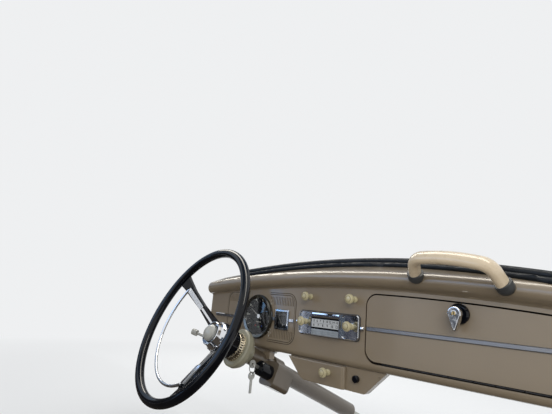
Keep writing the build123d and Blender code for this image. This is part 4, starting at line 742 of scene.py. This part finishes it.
# %% Distance counter
COUNTER_WIDTH = 19 * MM
COUNTER_HEIGHT = 5 * MM
COUNTER_DROP = 15 * MM
BORDER_WIDTH = 0.7 * MM
BORDER_THICKNESS = 0.5 * MM
BORDER_LIFT = 0.2 * MM
DIGITS = "04218"
DIGIT_SIZE = 4.4 * MM
DIGIT_PITCH = COUNTER_WIDTH / 5.6

counter_z = dial_centre.z - COUNTER_DROP
border = bmesh.new()
counter_place = set_at(Vector((dial_centre.x, dial_flat_y, counter_z)), TO_SEAT)
for side in (-1, 1):
    box_at(border, counter_place @ Matrix.Translation((0, side * COUNTER_HEIGHT / 2, BORDER_LIFT)),
           COUNTER_WIDTH, BORDER_WIDTH, BORDER_THICKNESS)
    box_at(border, counter_place @ Matrix.Translation((side * COUNTER_WIDTH / 2, 0, BORDER_LIFT)),
           BORDER_WIDTH, COUNTER_HEIGHT, BORDER_THICKNESS)
# the counter's frame has the chrome with painted shade, like the bezel
make("counter_frame", "dash", chrome_with_painted_shade, border)

digits = bmesh.new()
for index, digit in enumerate(DIGITS):
    x = dial_centre.x + (index - (len(DIGITS) - 1) / 2) * DIGIT_PITCH
    print_number(digits, digit, DIGIT_SIZE, flat_at(x, dial_flat_y, counter_z))
make("counter_digits", "dash", needle_white, digits)

# %% Warning lamps
LENS_RADIUS = 2.3 * MM
LENS_RISE = 0.8 * MM

# name, millimetres across and down from the dial's centre, colour
WARNING_LAMPS = [
    ("red_lamp", -13, 25, (0.32, 0.012, 0.010)),
    ("green_lamp", 0, 28, (0.015, 0.20, 0.06)),
    ("blue_lamp", 13, 25, (0.015, 0.05, 0.30)),
]
for name, across, drop, colour in WARNING_LAMPS:
    lens = bmesh.new()
    spot = Vector((dial_centre.x + across * MM, dial_flat_y, dial_centre.z - drop * MM))
    dome_at(lens, set_at(spot, TO_SEAT), LENS_RADIUS, LENS_RISE)
    make(name, "dash", moulding(name + "_lens", colour, 0.7, 0.12, 0.5), lens, True)

# %% [markdown]
# ## The fuel gauge's marks
# The small square gauge shows a dark face with pale marks. They stand on an arc about the needle's
# pivot, which lies below the middle of the face, so that the needle points at each in turn. They
# could be one flat text or picture, but as thin boxes on the arc they keep sharp edges from near by.
# Every fourth mark is long, and the plain numbers 0 and 1 stand at the ends.

# %% Fuel gauge marks
GAUGE_SWEEP = 38.0
GAUGE_MARKS = 9
LONG_EVERY = 4
GAUGE_RADIUS = 24 * MM
GAUGE_LONG = (1.6 * MM, 6.5 * MM)
GAUGE_SHORT = (0.8 * MM, 4.0 * MM)
GAUGE_NUMBER_SIZE = 6 * MM
GAUGE_NUMBER_ACROSS = 15.2 * MM
GAUGE_NUMBER_DROP = 9 * MM
PIVOT_DROP = 12.9 * MM

gauge_centre = centre("fuel_gauge_dial")
gauge_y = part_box("fuel_gauge_dial")[0].y
gauge_marks = bmesh.new()
for index in range(GAUGE_MARKS):
    angle = math.radians(-GAUGE_SWEEP + 2 * GAUGE_SWEEP * index / (GAUGE_MARKS - 1))
    width, length = GAUGE_LONG if index % LONG_EVERY == 0 else GAUGE_SHORT
    middle = GAUGE_RADIUS + length / 2
    place = Matrix.Translation((gauge_centre.x + middle * math.sin(angle), gauge_y - PRINT_THICKNESS / 2,
                                gauge_centre.z - PIVOT_DROP + middle * math.cos(angle)))
    box_at(gauge_marks, place @ Matrix.Rotation(angle, 4, "Y"), width, PRINT_THICKNESS, length)
for text, side in (("0", -1), ("1", 1)):
    x = gauge_centre.x + side * GAUGE_NUMBER_ACROSS
    bend = flat_at(x, gauge_y, gauge_centre.z - GAUGE_NUMBER_DROP)
    print_number(gauge_marks, text, GAUGE_NUMBER_SIZE, bend)
make("fuel_gauge_marks", "dash", faded_white, gauge_marks)

# %% Fuel gauge pivot
PIVOT_RADIUS = 3.0 * MM
PIVOT_RISE = 1.2 * MM

pivot = bmesh.new()
pivot_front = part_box("fuel_gauge_needle")[0].y
pivot_spot = Vector((gauge_centre.x, pivot_front, gauge_centre.z - PIVOT_DROP))
dome_at(pivot, set_at(pivot_spot, TO_SEAT), PIVOT_RADIUS, PIVOT_RISE)
make("fuel_gauge_pivot", "dash", black, pivot, True)

# %% [markdown]
# ## The radio's scale
# A pale strip behind the chrome carries two rows of plain numbers, one for each wave band, with a
# fine line between them. Each number could be placed by hand, but a loop spreads the rows over the
# strip's own box, so that they still fit when the strip changes.

# %% Radio scale
NUMBER_HEIGHT = 7.4 * MM
TICK_DROP = 0.9 * MM
TICK_WIDTH = 0.5 * MM
TICK_HEIGHT = 1.0 * MM
MIDDLE_LINE = 0.35 * MM
SCALE_SPREAD = 0.84
# share of the strip's height above its middle, numbers
SCALE_ROWS = [(0.26, "5 6 7 8 10 12 14 16"), (-0.25, "6 7 8 9 10 12")]

scale_low, scale_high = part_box("radio_scale")
scale_centre = (scale_low + scale_high) / 2
scale_size = scale_high - scale_low
line_y = scale_low.y - PRINT_THICKNESS / 2
prints = bmesh.new()
for row, numbers in SCALE_ROWS:
    values = numbers.split()
    tick_z = scale_centre.z + math.copysign(TICK_DROP, row)
    for index, value in enumerate(values):
        x = scale_centre.x + (index / (len(values) - 1) - 0.5) * SCALE_SPREAD * scale_size.x
        z = scale_centre.z + row * scale_size.z
        print_number(prints, value, NUMBER_HEIGHT, flat_at(x, scale_low.y, z))
        box_at(prints, Matrix.Translation((x, line_y, tick_z)), TICK_WIDTH, PRINT_THICKNESS, TICK_HEIGHT)
box_at(prints, Matrix.Translation((scale_centre.x, line_y, scale_centre.z)),
       SCALE_SPREAD * scale_size.x, PRINT_THICKNESS, MIDDLE_LINE)
make("radio_numbers", "dash", dial_black, prints)

# %% [markdown]
# Above and below the strip the real face has dark grooves, where the chrome turns back into the
# set. Their darkness is painted: a thin black plate in each groove gives painted shade and painted
# dark reflection, because a groove of bright chrome would only show the pale surroundings.

# %% Painted shade in the grooves
GROOVE_Y_BEHIND = 1.9 * MM
UPPER_GROOVE = 4.0 * MM
GROOVE_SHADE_THICKNESS = 0.3 * MM
GROOVE_SHADE_SIDE_GAP = 0.4 * MM
GROOVE_SHADE_EDGE_GAP = 0.2 * MM

keys_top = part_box("radio_buttons")[1].z
groove_shade = bmesh.new()
for low_z, high_z in ((scale_high.z, scale_high.z + UPPER_GROOVE), (keys_top, scale_low.z)):
    spot = (scale_centre.x, scale_high.y + GROOVE_Y_BEHIND, (low_z + high_z) / 2)
    box_at(groove_shade, Matrix.Translation(spot), scale_size.x - GROOVE_SHADE_SIDE_GAP, GROOVE_SHADE_THICKNESS,
           high_z - low_z - GROOVE_SHADE_EDGE_GAP)
# black plates of painted shade in the two grooves
make("radio_groove_shade", "dash", dial_black, groove_shade)

# %% [markdown]
# ## Painted shade beside the beads
# Beside a raised bead a thin dark line of shade lies in the corner on each side, and that line is
# what shows the bead from a distance. Here that shade is painted. A darker paint on the pressing
# would need a mask there, so each line is instead a ribbon laid on the face, which follows the
# same outline as the bead: straight runs with a quarter circle at each outer corner.

# %% Outline of a bead
SPEEDO_TO_EDGE = 140 * MM
BEAD_TOP = 62 * MM
BEAD_FOOT = 61 * MM
BEAD_CORNER = 25 * MM
BEAD_WIDTH = 2.6 * MM
RIBBON_START = 42 * MM
CORNER_STEPS = 8

speedo = centre("speedometer_case")
trim_low, trim_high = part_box("lid_trim")
trim_z = (trim_low.z + trim_high.z) / 2


def bead_path(side, inset):
    """Points of the open outline beside the speedometer, from above it round to below it."""
    edge = speedo.x + side * (SPEEDO_TO_EDGE - inset)
    start = speedo.x + side * RIBBON_START
    corner = BEAD_CORNER - inset
    top = trim_z + BEAD_TOP - inset
    foot = trim_z - BEAD_FOOT + inset
    points = [(start, top)]
    for middle, first in ((top - corner, 90), (foot + corner, 0)):
        for step in range(CORNER_STEPS + 1):
            turn = math.radians(first - 90 * step / CORNER_STEPS)
            x = edge + side * corner * (math.cos(turn) - 1)
            points.append((x, middle + corner * math.sin(turn)))
    return points + [(start, foot)]


print("bead starts at", [round(value, 4) for value in bead_path(1, 0)[0]])

# %% Lines of painted shade
RIBBON_WIDTH = 2.0 * MM
RIBBON_THICKNESS = 0.1 * MM
face_y = trim_high.y
ribbon_y = face_y - RIBBON_THICKNESS


def ribbon(bm, points):
    """A flat strip of even width along points in x and z, on the face."""
    sections = []
    for index, (x, z) in enumerate(points):
        before = points[max(index - 1, 0)]
        after = points[min(index + 1, len(points) - 1)]
        way = Vector((after[0] - before[0], after[1] - before[1])).normalized()
        out = Vector((-way.y, way.x)) * RIBBON_WIDTH / 2
        corners = ((-1, face_y), (1, face_y), (1, ribbon_y), (-1, ribbon_y))
        sections.append([bm.verts.new((x + sign * out.x, y, z + sign * out.y)) for sign, y in corners])
    for first, second in zip(sections, sections[1:]):
        join_loops(bm, first, second)
    bm.faces.new(sections[0])
    bm.faces.new(sections[-1])


bead_shade_strips = bmesh.new()
for side in (-1, 1):
    for inset in (-RIBBON_WIDTH / 2, BEAD_WIDTH + RIBBON_WIDTH / 2):
        ribbon(bead_shade_strips, bead_path(side, inset))
# dark ribbons of painted shade on both sides of each bead
make("bead_shade_lines", "dash", felt_and_shade, bead_shade_strips)

# %% [markdown]
# ## Ribs on the horn pads
# The two pads at the ends of the horn ring are ribbed so that a thumb finds them. The ribs could be
# a bump in the chrome, but their shine comes from their round tops, so they are low bars across
# each pad. They ride on the wheel, and their frame is the steering joint's own: its place is the
# rim's centre and its axis points to the driver.

# %% Frame of the wheel
steering = [joint for joint in frame["joints"] if joint["name"] == "steering"][0]
wheel_centre = Vector(steering["pos_m"])
to_driver = Vector(steering["axis"]).normalized()
across_wheel = Vector((0, 0, 1)).cross(to_driver).normalized()
up_wheel = to_driver.cross(across_wheel)
wheel_axes = Matrix((across_wheel, up_wheel, to_driver)).transposed()
wheel_frame = Matrix.Translation(wheel_centre) @ wheel_axes.to_4x4()
print("wheel centre", wheel_centre)

# %% Horn pads
RIB_PITCH = 2.3 * MM
RIB_RADIUS = 0.62 * MM
RIB_LENGTH = 11.2 * MM
RIB_SIDES = 8
PAD_INNER = 91 * MM
PAD_OUTER = 140 * MM
HORN_RING_RADIUS = 146 * MM
PAD_DEPTH_AT_RING = 13.6 * MM
SPOKE_SLOPE = 75 / 122
PAD_ANGLES = (142.5, -65.5)

ribs = bmesh.new()
tilt = Matrix.Rotation(-math.atan(SPOKE_SLOPE), 4, "Y")
lie_across = Matrix.Translation((0, RIB_LENGTH / 2, 0)) @ Matrix.Rotation(math.pi / 2, 4, "X")
for angle in PAD_ANGLES:
    turned = wheel_frame @ Matrix.Rotation(math.radians(angle), 4, "Z")
    radius = PAD_INNER
    while radius < PAD_OUTER:
        depth = PAD_DEPTH_AT_RING + (HORN_RING_RADIUS - radius) * SPOKE_SLOPE
        place = turned @ Matrix.Translation((radius, 0, -depth)) @ tilt
        rod_at(ribs, place @ lie_across, RIB_RADIUS, RIB_LENGTH, sides=RIB_SIDES)
        radius += RIB_PITCH
make("horn_pad_ribs", "wheel", chrome, ribs, True)

# %% [markdown]
# ## Screws, nuts and bolts
# What holds a pressing together is small but tells its scale. Three helpers make the fastenings: a
# slotted head, a hexagon head on a washer, and a low rivet. A slot could be cut with a boolean, but
# two bars with a gap between them show the same slot and keep the mesh clean. The proportions all
# follow from one radius, so a fastening needs only its places, its direction and its body.

# %% Fastening heads
def slotted_head(bm, place, radius):
    """A round washer with two bars on it that leave a slot between them."""
    rod_at(bm, place, radius, 0.25 * radius)
    top = place @ Matrix.Translation((0, 0, 0.25 * radius))
    for side in (-1, 1):
        half = top @ Matrix.Translation((0, side * 0.52 * radius, 0.14 * radius))
        box_at(bm, half, 1.35 * radius, 0.78 * radius, 0.28 * radius)


def hexagon_head(bm, place, radius):
    """A washer, a six-sided head and a thin round top."""
    rod_at(bm, place, 1.25 * radius, 0.18 * radius)
    rod_at(bm, place @ Matrix.Translation((0, 0, 0.18 * radius)), radius, 0.62 * radius, sides=6)
    rod_at(bm, place @ Matrix.Translation((0, 0, 0.80 * radius)), 0.82 * radius, 0.08 * radius)


def rivet_head(bm, place, radius):
    """A low dome."""
    dome_at(bm, place, radius, 0.4 * radius, sides=16, steps=3)


def fasten(name, body, head, radius, direction, points, material=zinc):
    """One piece with the same head at each point."""
    bm = bmesh.new()
    for point in points:
        head(bm, set_at(Vector(point), direction), radius)
    return make(name, body, material, bm, head is rivet_head)


# %% Screws of the radio
RADIO_SCREW = 2.2 * MM
COVER_SCREW_ACROSS = 68 * MM
COVER_SCREW_FRONT = 16 * MM
COVER_SCREW_BACK = 10 * MM
REAR_SCREW_ACROSS = 72 * MM
REAR_SCREW_UP = 15 * MM

body_low, body_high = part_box("radio_body")
radio_mid = (body_low + body_high) / 2
cover_rows = (body_low.y + COVER_SCREW_FRONT, body_high.y - COVER_SCREW_BACK)
fasten("radio_screws", "dash", slotted_head, RADIO_SCREW, UPWARD,
       [(radio_mid.x + side * COVER_SCREW_ACROSS, y, body_high.z) for side in (-1, 1) for y in cover_rows])
fasten("radio_rear_screws", "dash", slotted_head, RADIO_SCREW, FORWARD,
       [(radio_mid.x + side * REAR_SCREW_ACROSS, body_high.y, radio_mid.z + level * REAR_SCREW_UP)
        for side in (-1, 1) for level in (-1, 1)])

# %% Rivets of the liner
RIVET_RADIUS = 2.4 * MM
RIVET_SPACES = 6
RIVET_FROM_FRONT = 9 * MM
RIVET_SINK = 3.4 * MM

liner_low, liner_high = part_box("glovebox_liner")
liner_width = liner_high.x - liner_low.x
fasten("liner_rivets", "dash", rivet_head, RIVET_RADIUS, UPWARD,
       [(liner_low.x + liner_width * (index + 0.5) / RIVET_SPACES, liner_low.y + RIVET_FROM_FRONT,
         liner_high.z - RIVET_SINK) for index in range(1, RIVET_SPACES - 1)])

# %% Terminals, saddle bolts and panel screw
TERMINAL_RADIUS = 3.2 * MM
TERMINAL_ACROSS = 12 * MM
TERMINAL_DROP = 8 * MM
SADDLE_BOLT_RADIUS = 5.0 * MM
SADDLE_BOLT_ACROSS = 41 * MM
SADDLE_EAR = 3 * MM
PANEL_SCREW_RADIUS = 2.6 * MM
PANEL_SCREW_FROM_SIDE = 17 * MM
PANEL_SCREW_DROP = 9 * MM

low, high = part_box("fuel_gauge_case")
case_x = (low.x + high.x) / 2
terminal_z = (low.z + high.z) / 2 - TERMINAL_DROP
fasten("gauge_terminals", "dash", hexagon_head, TERMINAL_RADIUS, FORWARD,
       [(case_x + side * TERMINAL_ACROSS, high.y, terminal_z) for side in (-1, 1)], brass)

low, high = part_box("column_bracket")
saddle_x = (low.x + high.x) / 2
saddle_y = (low.y + high.y) / 2
fasten("saddle_bolts", "dash", hexagon_head, SADDLE_BOLT_RADIUS, DOWNWARD,
       [(saddle_x + side * SADDLE_BOLT_ACROSS, saddle_y, high.z - SADDLE_EAR) for side in (-1, 1)])

low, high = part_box("ashtray_panel")
fasten("panel_screws", "dash", slotted_head, PANEL_SCREW_RADIUS, TO_SEAT,
       [(high.x - PANEL_SCREW_FROM_SIDE, low.y, high.z - PANEL_SCREW_DROP)], beige)

# %% [markdown]
# ## Backs of the instruments
# From the front of the car the dials show their backs: a knurled nut where the speed cable goes in,
# bulb holders that push into sleeves, and on the radio a vented cover with an aerial socket. They
# belong to such instruments. The photograph doesn't show them, so they are kept plain, and each is
# a few rods and boxes on the case that the frame gives.

# %% Cable nut
NUT_RADIUS = 9.6 * MM
NUT_BORE = 9.05 * MM
NUT_LENGTH = 8 * MM
NUT_FROM_END = 2 * MM
KNURL_COUNT = 28
KNURL_RISE = 0.8 * MM
KNURL_WIDTH = 0.9 * MM
KNURL_END_GAP = 0.8 * MM

low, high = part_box("speedometer_case")
case_mid = (low + high) / 2
nut = bmesh.new()
nut_place = set_at(Vector((case_mid.x, high.y - NUT_LENGTH - NUT_FROM_END, case_mid.z)), FORWARD)
lathe_at(nut, nut_place, [(NUT_BORE, 0), (NUT_RADIUS, 0),
                          (NUT_RADIUS, NUT_LENGTH), (NUT_BORE, NUT_LENGTH)])
for index in range(KNURL_COUNT):
    turned = nut_place @ Matrix.Rotation(2 * math.pi * index / KNURL_COUNT, 4, "Z")
    box_at(nut, turned @ Matrix.Translation((NUT_RADIUS, 0, NUT_LENGTH / 2)),
           KNURL_RISE, KNURL_WIDTH, NUT_LENGTH - 2 * KNURL_END_GAP)
make("cable_nut", "dash", zinc, nut)

# %% Bulb holders
SPIGOT_LENGTH = 14 * MM
HOLDER_STEP = 5 * MM
HOLDER_RADII = (6.0 * MM, 4.6 * MM, 4.2 * MM)
TAG_SIZE = 5 * MM
TAG_THICKNESS = 0.8 * MM
TAG_LIFT = 12 * MM
# millimetres across and up from the case's middle
HOLDER_PLACES = ((-24, 22), (24, 22), (-20, -28), (20, -28))

foot_radius, neck_radius, end_radius = HOLDER_RADII
case_back = high.y - SPIGOT_LENGTH
holders = bmesh.new()
for x, z in HOLDER_PLACES:
    place = set_at(Vector((case_mid.x + x * MM, case_back, case_mid.z + z * MM)), FORWARD)
    rod_at(holders, place, foot_radius, HOLDER_STEP)
    neck = place @ Matrix.Translation((0, 0, HOLDER_STEP))
    rod_at(holders, neck, neck_radius, HOLDER_STEP, end_radius)
    box_at(holders, place @ Matrix.Translation((0, 0, TAG_LIFT)), TAG_THICKNESS, TAG_SIZE, TAG_SIZE)
make("bulb_holders", "dash", zinc, holders, True)

# %% Vents of the radio
VENT_COUNT = 12
VENT_PITCH = 9 * MM
VENT_ROW_OFFSET = 26 * MM
VENT_WIDTH = 3.2 * MM
VENT_LENGTH = 34 * MM
VENT_THICKNESS = 1.2 * MM

vents = bmesh.new()
for index in range(VENT_COUNT):
    x = radio_mid.x + (index - (VENT_COUNT - 1) / 2) * VENT_PITCH
    for y in (radio_mid.y - VENT_ROW_OFFSET, radio_mid.y + VENT_ROW_OFFSET):
        box_at(vents, Matrix.Translation((x, y, body_high.z)), VENT_WIDTH, VENT_LENGTH, VENT_THICKNESS)
make("radio_vents", "dash", dark_steel, vents)

# %% Sockets of the radio
AERIAL_ACROSS = 48 * MM
AERIAL_BORE = 3.2 * MM
AERIAL_RADIUS = 5.6 * MM
AERIAL_LENGTH = 4 * MM
FUSE_ACROSS = 46 * MM
FUSE_RADIUS = 7 * MM
FUSE_LENGTH = 3 * MM
PIN_COUNT = 4
PIN_PITCH = 9 * MM
PIN_DROP = 6 * MM


def radio_back(x, z=0.0):
    """A place on the back of the radio, x and z from its middle."""
    return set_at(Vector((radio_mid.x + x, body_high.y, radio_mid.z + z)), FORWARD)


sockets = bmesh.new()
lathe_at(sockets, radio_back(AERIAL_ACROSS), [(AERIAL_BORE, 0), (AERIAL_RADIUS, 0),
                                              (AERIAL_RADIUS, AERIAL_LENGTH), (AERIAL_BORE, AERIAL_LENGTH)])
rod_at(sockets, radio_back(-FUSE_ACROSS), FUSE_RADIUS, FUSE_LENGTH)
for index in range(PIN_COUNT):
    place = radio_back((index - (PIN_COUNT - 1) / 2) * PIN_PITCH, -PIN_DROP)
    box_at(sockets, place @ Matrix.Translation((0, 0, TAG_SIZE / 2)), TAG_THICKNESS, TAG_SIZE, TAG_SIZE)
make("radio_sockets", "dash", brass, sockets)

# %% [markdown]
# ## Lock and knobs
# The lid's handle holds a lock barrel: a chrome ring, a brass core in two halves and the dark
# keyway between them. Each ivory knob has a brown turned line on its front. Cutting a groove into
# the knob would show it too, but a ring on the dome needs a profile of only four corners, and it can
# have a colour of its own.

# %% Lock barrel
BARREL_RADIUS = 5.2 * MM
BARREL_WALL = 1.1 * MM
BARREL_SINK = 0.4 * MM
BARREL_OUTER_RISE = 0.5 * MM
BARREL_INNER_RISE = 0.9 * MM
BARREL_DROP = 12.5 * MM
BARREL_AHEAD = 0.1 * MM

low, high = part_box("lid_lock")
barrel_spot = Vector(((low.x + high.x) / 2, low.y - BARREL_AHEAD, high.z - BARREL_DROP))
barrel_place = set_at(barrel_spot, TO_SEAT)
barrel = bmesh.new()
barrel_inner = BARREL_RADIUS - BARREL_WALL
lathe_at(barrel, barrel_place, [(barrel_inner, -BARREL_SINK), (BARREL_RADIUS, -BARREL_SINK),
                                (BARREL_RADIUS, BARREL_OUTER_RISE), (barrel_inner, BARREL_INNER_RISE)])
make("lid_lock_ring", "lid", chrome, barrel, True)

# %% Lock core and keyway
CORE_HALF = (3.0 * MM, 6.2 * MM, 0.8 * MM)
CORE_ACROSS = 2.1 * MM
CORE_LIFT = 0.1 * MM
KEYWAY = (1.2 * MM, 6.4 * MM, 0.5 * MM)

core = bmesh.new()
for side in (-1, 1):
    box_at(core, barrel_place @ Matrix.Translation((side * CORE_ACROSS, 0, CORE_LIFT)), *CORE_HALF)
make("lid_lock_core", "lid", brass, core)
keyway = bmesh.new()
box_at(keyway, barrel_place, *KEYWAY)
make("lid_keyway", "lid", dial_black, keyway)

# %% Ring on a knob
KNOB_RING = 6.3 * MM
KNOB_RING_FOOT_WIDTH = 0.7 * MM
KNOB_RING_TOP = (0.1 * MM, 0.6 * MM)
KNOB_RING_SINK = 0.5 * MM
KNOB_RING_RISE = 0.35 * MM
KNOB_RING_SIDES = 24
KNOB_DOME_DROP = 1.15 * MM


def knob_ring(bm, front):
    """A ring on the dome of a knob, about the middle of the knob's front."""
    place = set_at(front + Vector((0, KNOB_DOME_DROP, 0)), TO_SEAT)
    inner, outer = KNOB_RING_TOP
    foot = KNOB_RING + KNOB_RING_FOOT_WIDTH
    profile = [(KNOB_RING, -KNOB_RING_SINK), (foot, -KNOB_RING_SINK),
               (KNOB_RING + outer, KNOB_RING_RISE), (KNOB_RING + inner, KNOB_RING_RISE)]
    lathe_at(bm, place, profile, KNOB_RING_SIDES)


# %% Knob rings
def knob_fronts(node):
    """The middle of the front of each knob in a node that holds one or two beside each other."""
    low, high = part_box(node)
    half = (high.z - low.z) / 2
    return [Vector((x, low.y, (low.z + high.z) / 2)) for x in sorted({low.x + half, high.x - half})]


knob_rings = bmesh.new()
for node in ("switch_knobs", "radio_knobs"):
    for front in knob_fronts(node):
        knob_ring(knob_rings, front)
make("knob_rings", "dash", knob_brown, knob_rings, True)
tray_ring = bmesh.new()
low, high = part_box("ashtray_knob")
knob_ring(tray_ring, Vector(((low.x + high.x) / 2, low.y, (low.z + high.z) / 2)))
make("ashtray_knob_ring", "ashtray", knob_brown, tray_ring, True)

# %% [markdown]
# ## On the column
# A clamp bolt holds the lock's housing on the column, a bright ring surrounds the ignition lock, and
# dark shades lie between the bright flutes of the collar. The flutes themselves are construction,
# and at this size they would melt together. Their gaps could be painted, but that needs faces of
# their own in the collar, so a thin dark bar of painted shade stands in each gap instead.

# %% Clamp bolt and ignition ring
CLAMP_BOLT_DEPTH = 292 * MM
CLAMP_BOLT_ACROSS = 29 * MM
CLAMP_BOLT_RADIUS = 4.2 * MM
IGNITION_FRONT = 19.0 * MM
# corners as radius and height, millimetres
IGNITION_PROFILE = ((11.0, -0.5), (13.5, -0.5), (13.0, 0.6), (11.5, 0.6))

clamp_bolt = bmesh.new()
bolt_spot = wheel_centre - to_driver * CLAMP_BOLT_DEPTH - across_wheel * CLAMP_BOLT_ACROSS
hexagon_head(clamp_bolt, set_at(bolt_spot, -across_wheel), CLAMP_BOLT_RADIUS)
make("housing_bolt", "dash", zinc, clamp_bolt)

ignition_ring = bmesh.new()
ignition_front = centre("ignition_barrel") + to_driver * IGNITION_FRONT
lathe_at(ignition_ring, set_at(ignition_front, to_driver),
         [(radius * MM, height * MM) for radius, height in IGNITION_PROFILE])
make("ignition_ring", "dash", chrome, ignition_ring, True)

# %% Shade between the flutes
FLUTE_COUNT = 36
FLUTE_RIM = 34.6 * MM
FLUTE_FRONT = 139.6 * MM
FLUTE_BACK = 146.5 * MM
FLUTE_LEAN = math.radians(-19.0)
SHADE_THICKNESS = 0.6 * MM
SHADE_WIDTH = 2.0 * MM

shades = bmesh.new()
shade_middle = Matrix.Translation((FLUTE_RIM, 0, -(FLUTE_FRONT + FLUTE_BACK) / 2))
lean = Matrix.Rotation(FLUTE_LEAN, 4, "Y")
for index in range(FLUTE_COUNT):
    turned = wheel_frame @ Matrix.Rotation(2 * math.pi * index / FLUTE_COUNT, 4, "Z")
    box_at(shades, turned @ shade_middle @ lean, SHADE_THICKNESS, SHADE_WIDTH, FLUTE_BACK - FLUTE_FRONT)
# dark bars of painted shade in the gaps between the flutes
make("flute_shades", "dash", dark_steel, shades)

# %% [markdown]
# ## On the wheel's cup and behind the lid
# A bright bead runs round the foot of the horn cup, and a fine dark seam round its button shows that
# the button is a piece of its own. Two rubber stops sit behind the lid, where it would else strike
# the pressing. They ride on the lid and swing away with it.

# %% Cup bead and button seam
CUP_BEAD_DEPTH = 84.5 * MM
CUP_BEAD_RADIUS = 36.3 * MM
CUP_BEAD_THICKNESS = 0.9 * MM
CUP_BEAD_STEPS = 8
SEAM_DEPTH = 69.6 * MM
WHEEL_SIDES = 64
# corners as radius and height, millimetres
SEAM_PROFILE = ((20.6, 0), (22.6, 0), (22.2, 2.4), (20.6, 2.4))

cup_bead = bmesh.new()
bead_profile = []
for step in range(CUP_BEAD_STEPS):
    angle = 2 * math.pi * step / CUP_BEAD_STEPS
    across = CUP_BEAD_THICKNESS * math.cos(angle)
    bead_profile.append((CUP_BEAD_RADIUS + across, CUP_BEAD_THICKNESS * math.sin(angle)))
lathe_at(cup_bead, wheel_frame @ Matrix.Translation((0, 0, -CUP_BEAD_DEPTH)), bead_profile, WHEEL_SIDES)
make("cup_bead", "wheel", chrome, cup_bead, True)
seam = bmesh.new()
lathe_at(seam, wheel_frame @ Matrix.Translation((0, 0, -SEAM_DEPTH)),
         [(radius * MM, height * MM) for radius, height in SEAM_PROFILE], WHEEL_SIDES)
make("button_seam", "wheel", black_rubber, seam, True)

# %% Lid stops
STOP_ACROSS = 170 * MM
STOP_DROP = 22 * MM
STOP_START = 1.5 * MM
STOP_FOOT = 5 * MM
STOP_END = 4 * MM
STOP_LENGTH = 6 * MM

lid_low, lid_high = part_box("glovebox_lid")
liner_x = (liner_low.x + liner_high.x) / 2
stops = bmesh.new()
for side in (-1, 1):
    spot = Vector((liner_x + side * STOP_ACROSS, lid_low.y + STOP_START, lid_high.z - STOP_DROP))
    rod_at(stops, set_at(spot, FORWARD), STOP_FOOT, STOP_LENGTH, STOP_END)
make("lid_stops", "lid", black_rubber, stops, True)
print("small pieces", len(counts), "faces", sum(counts.values()))
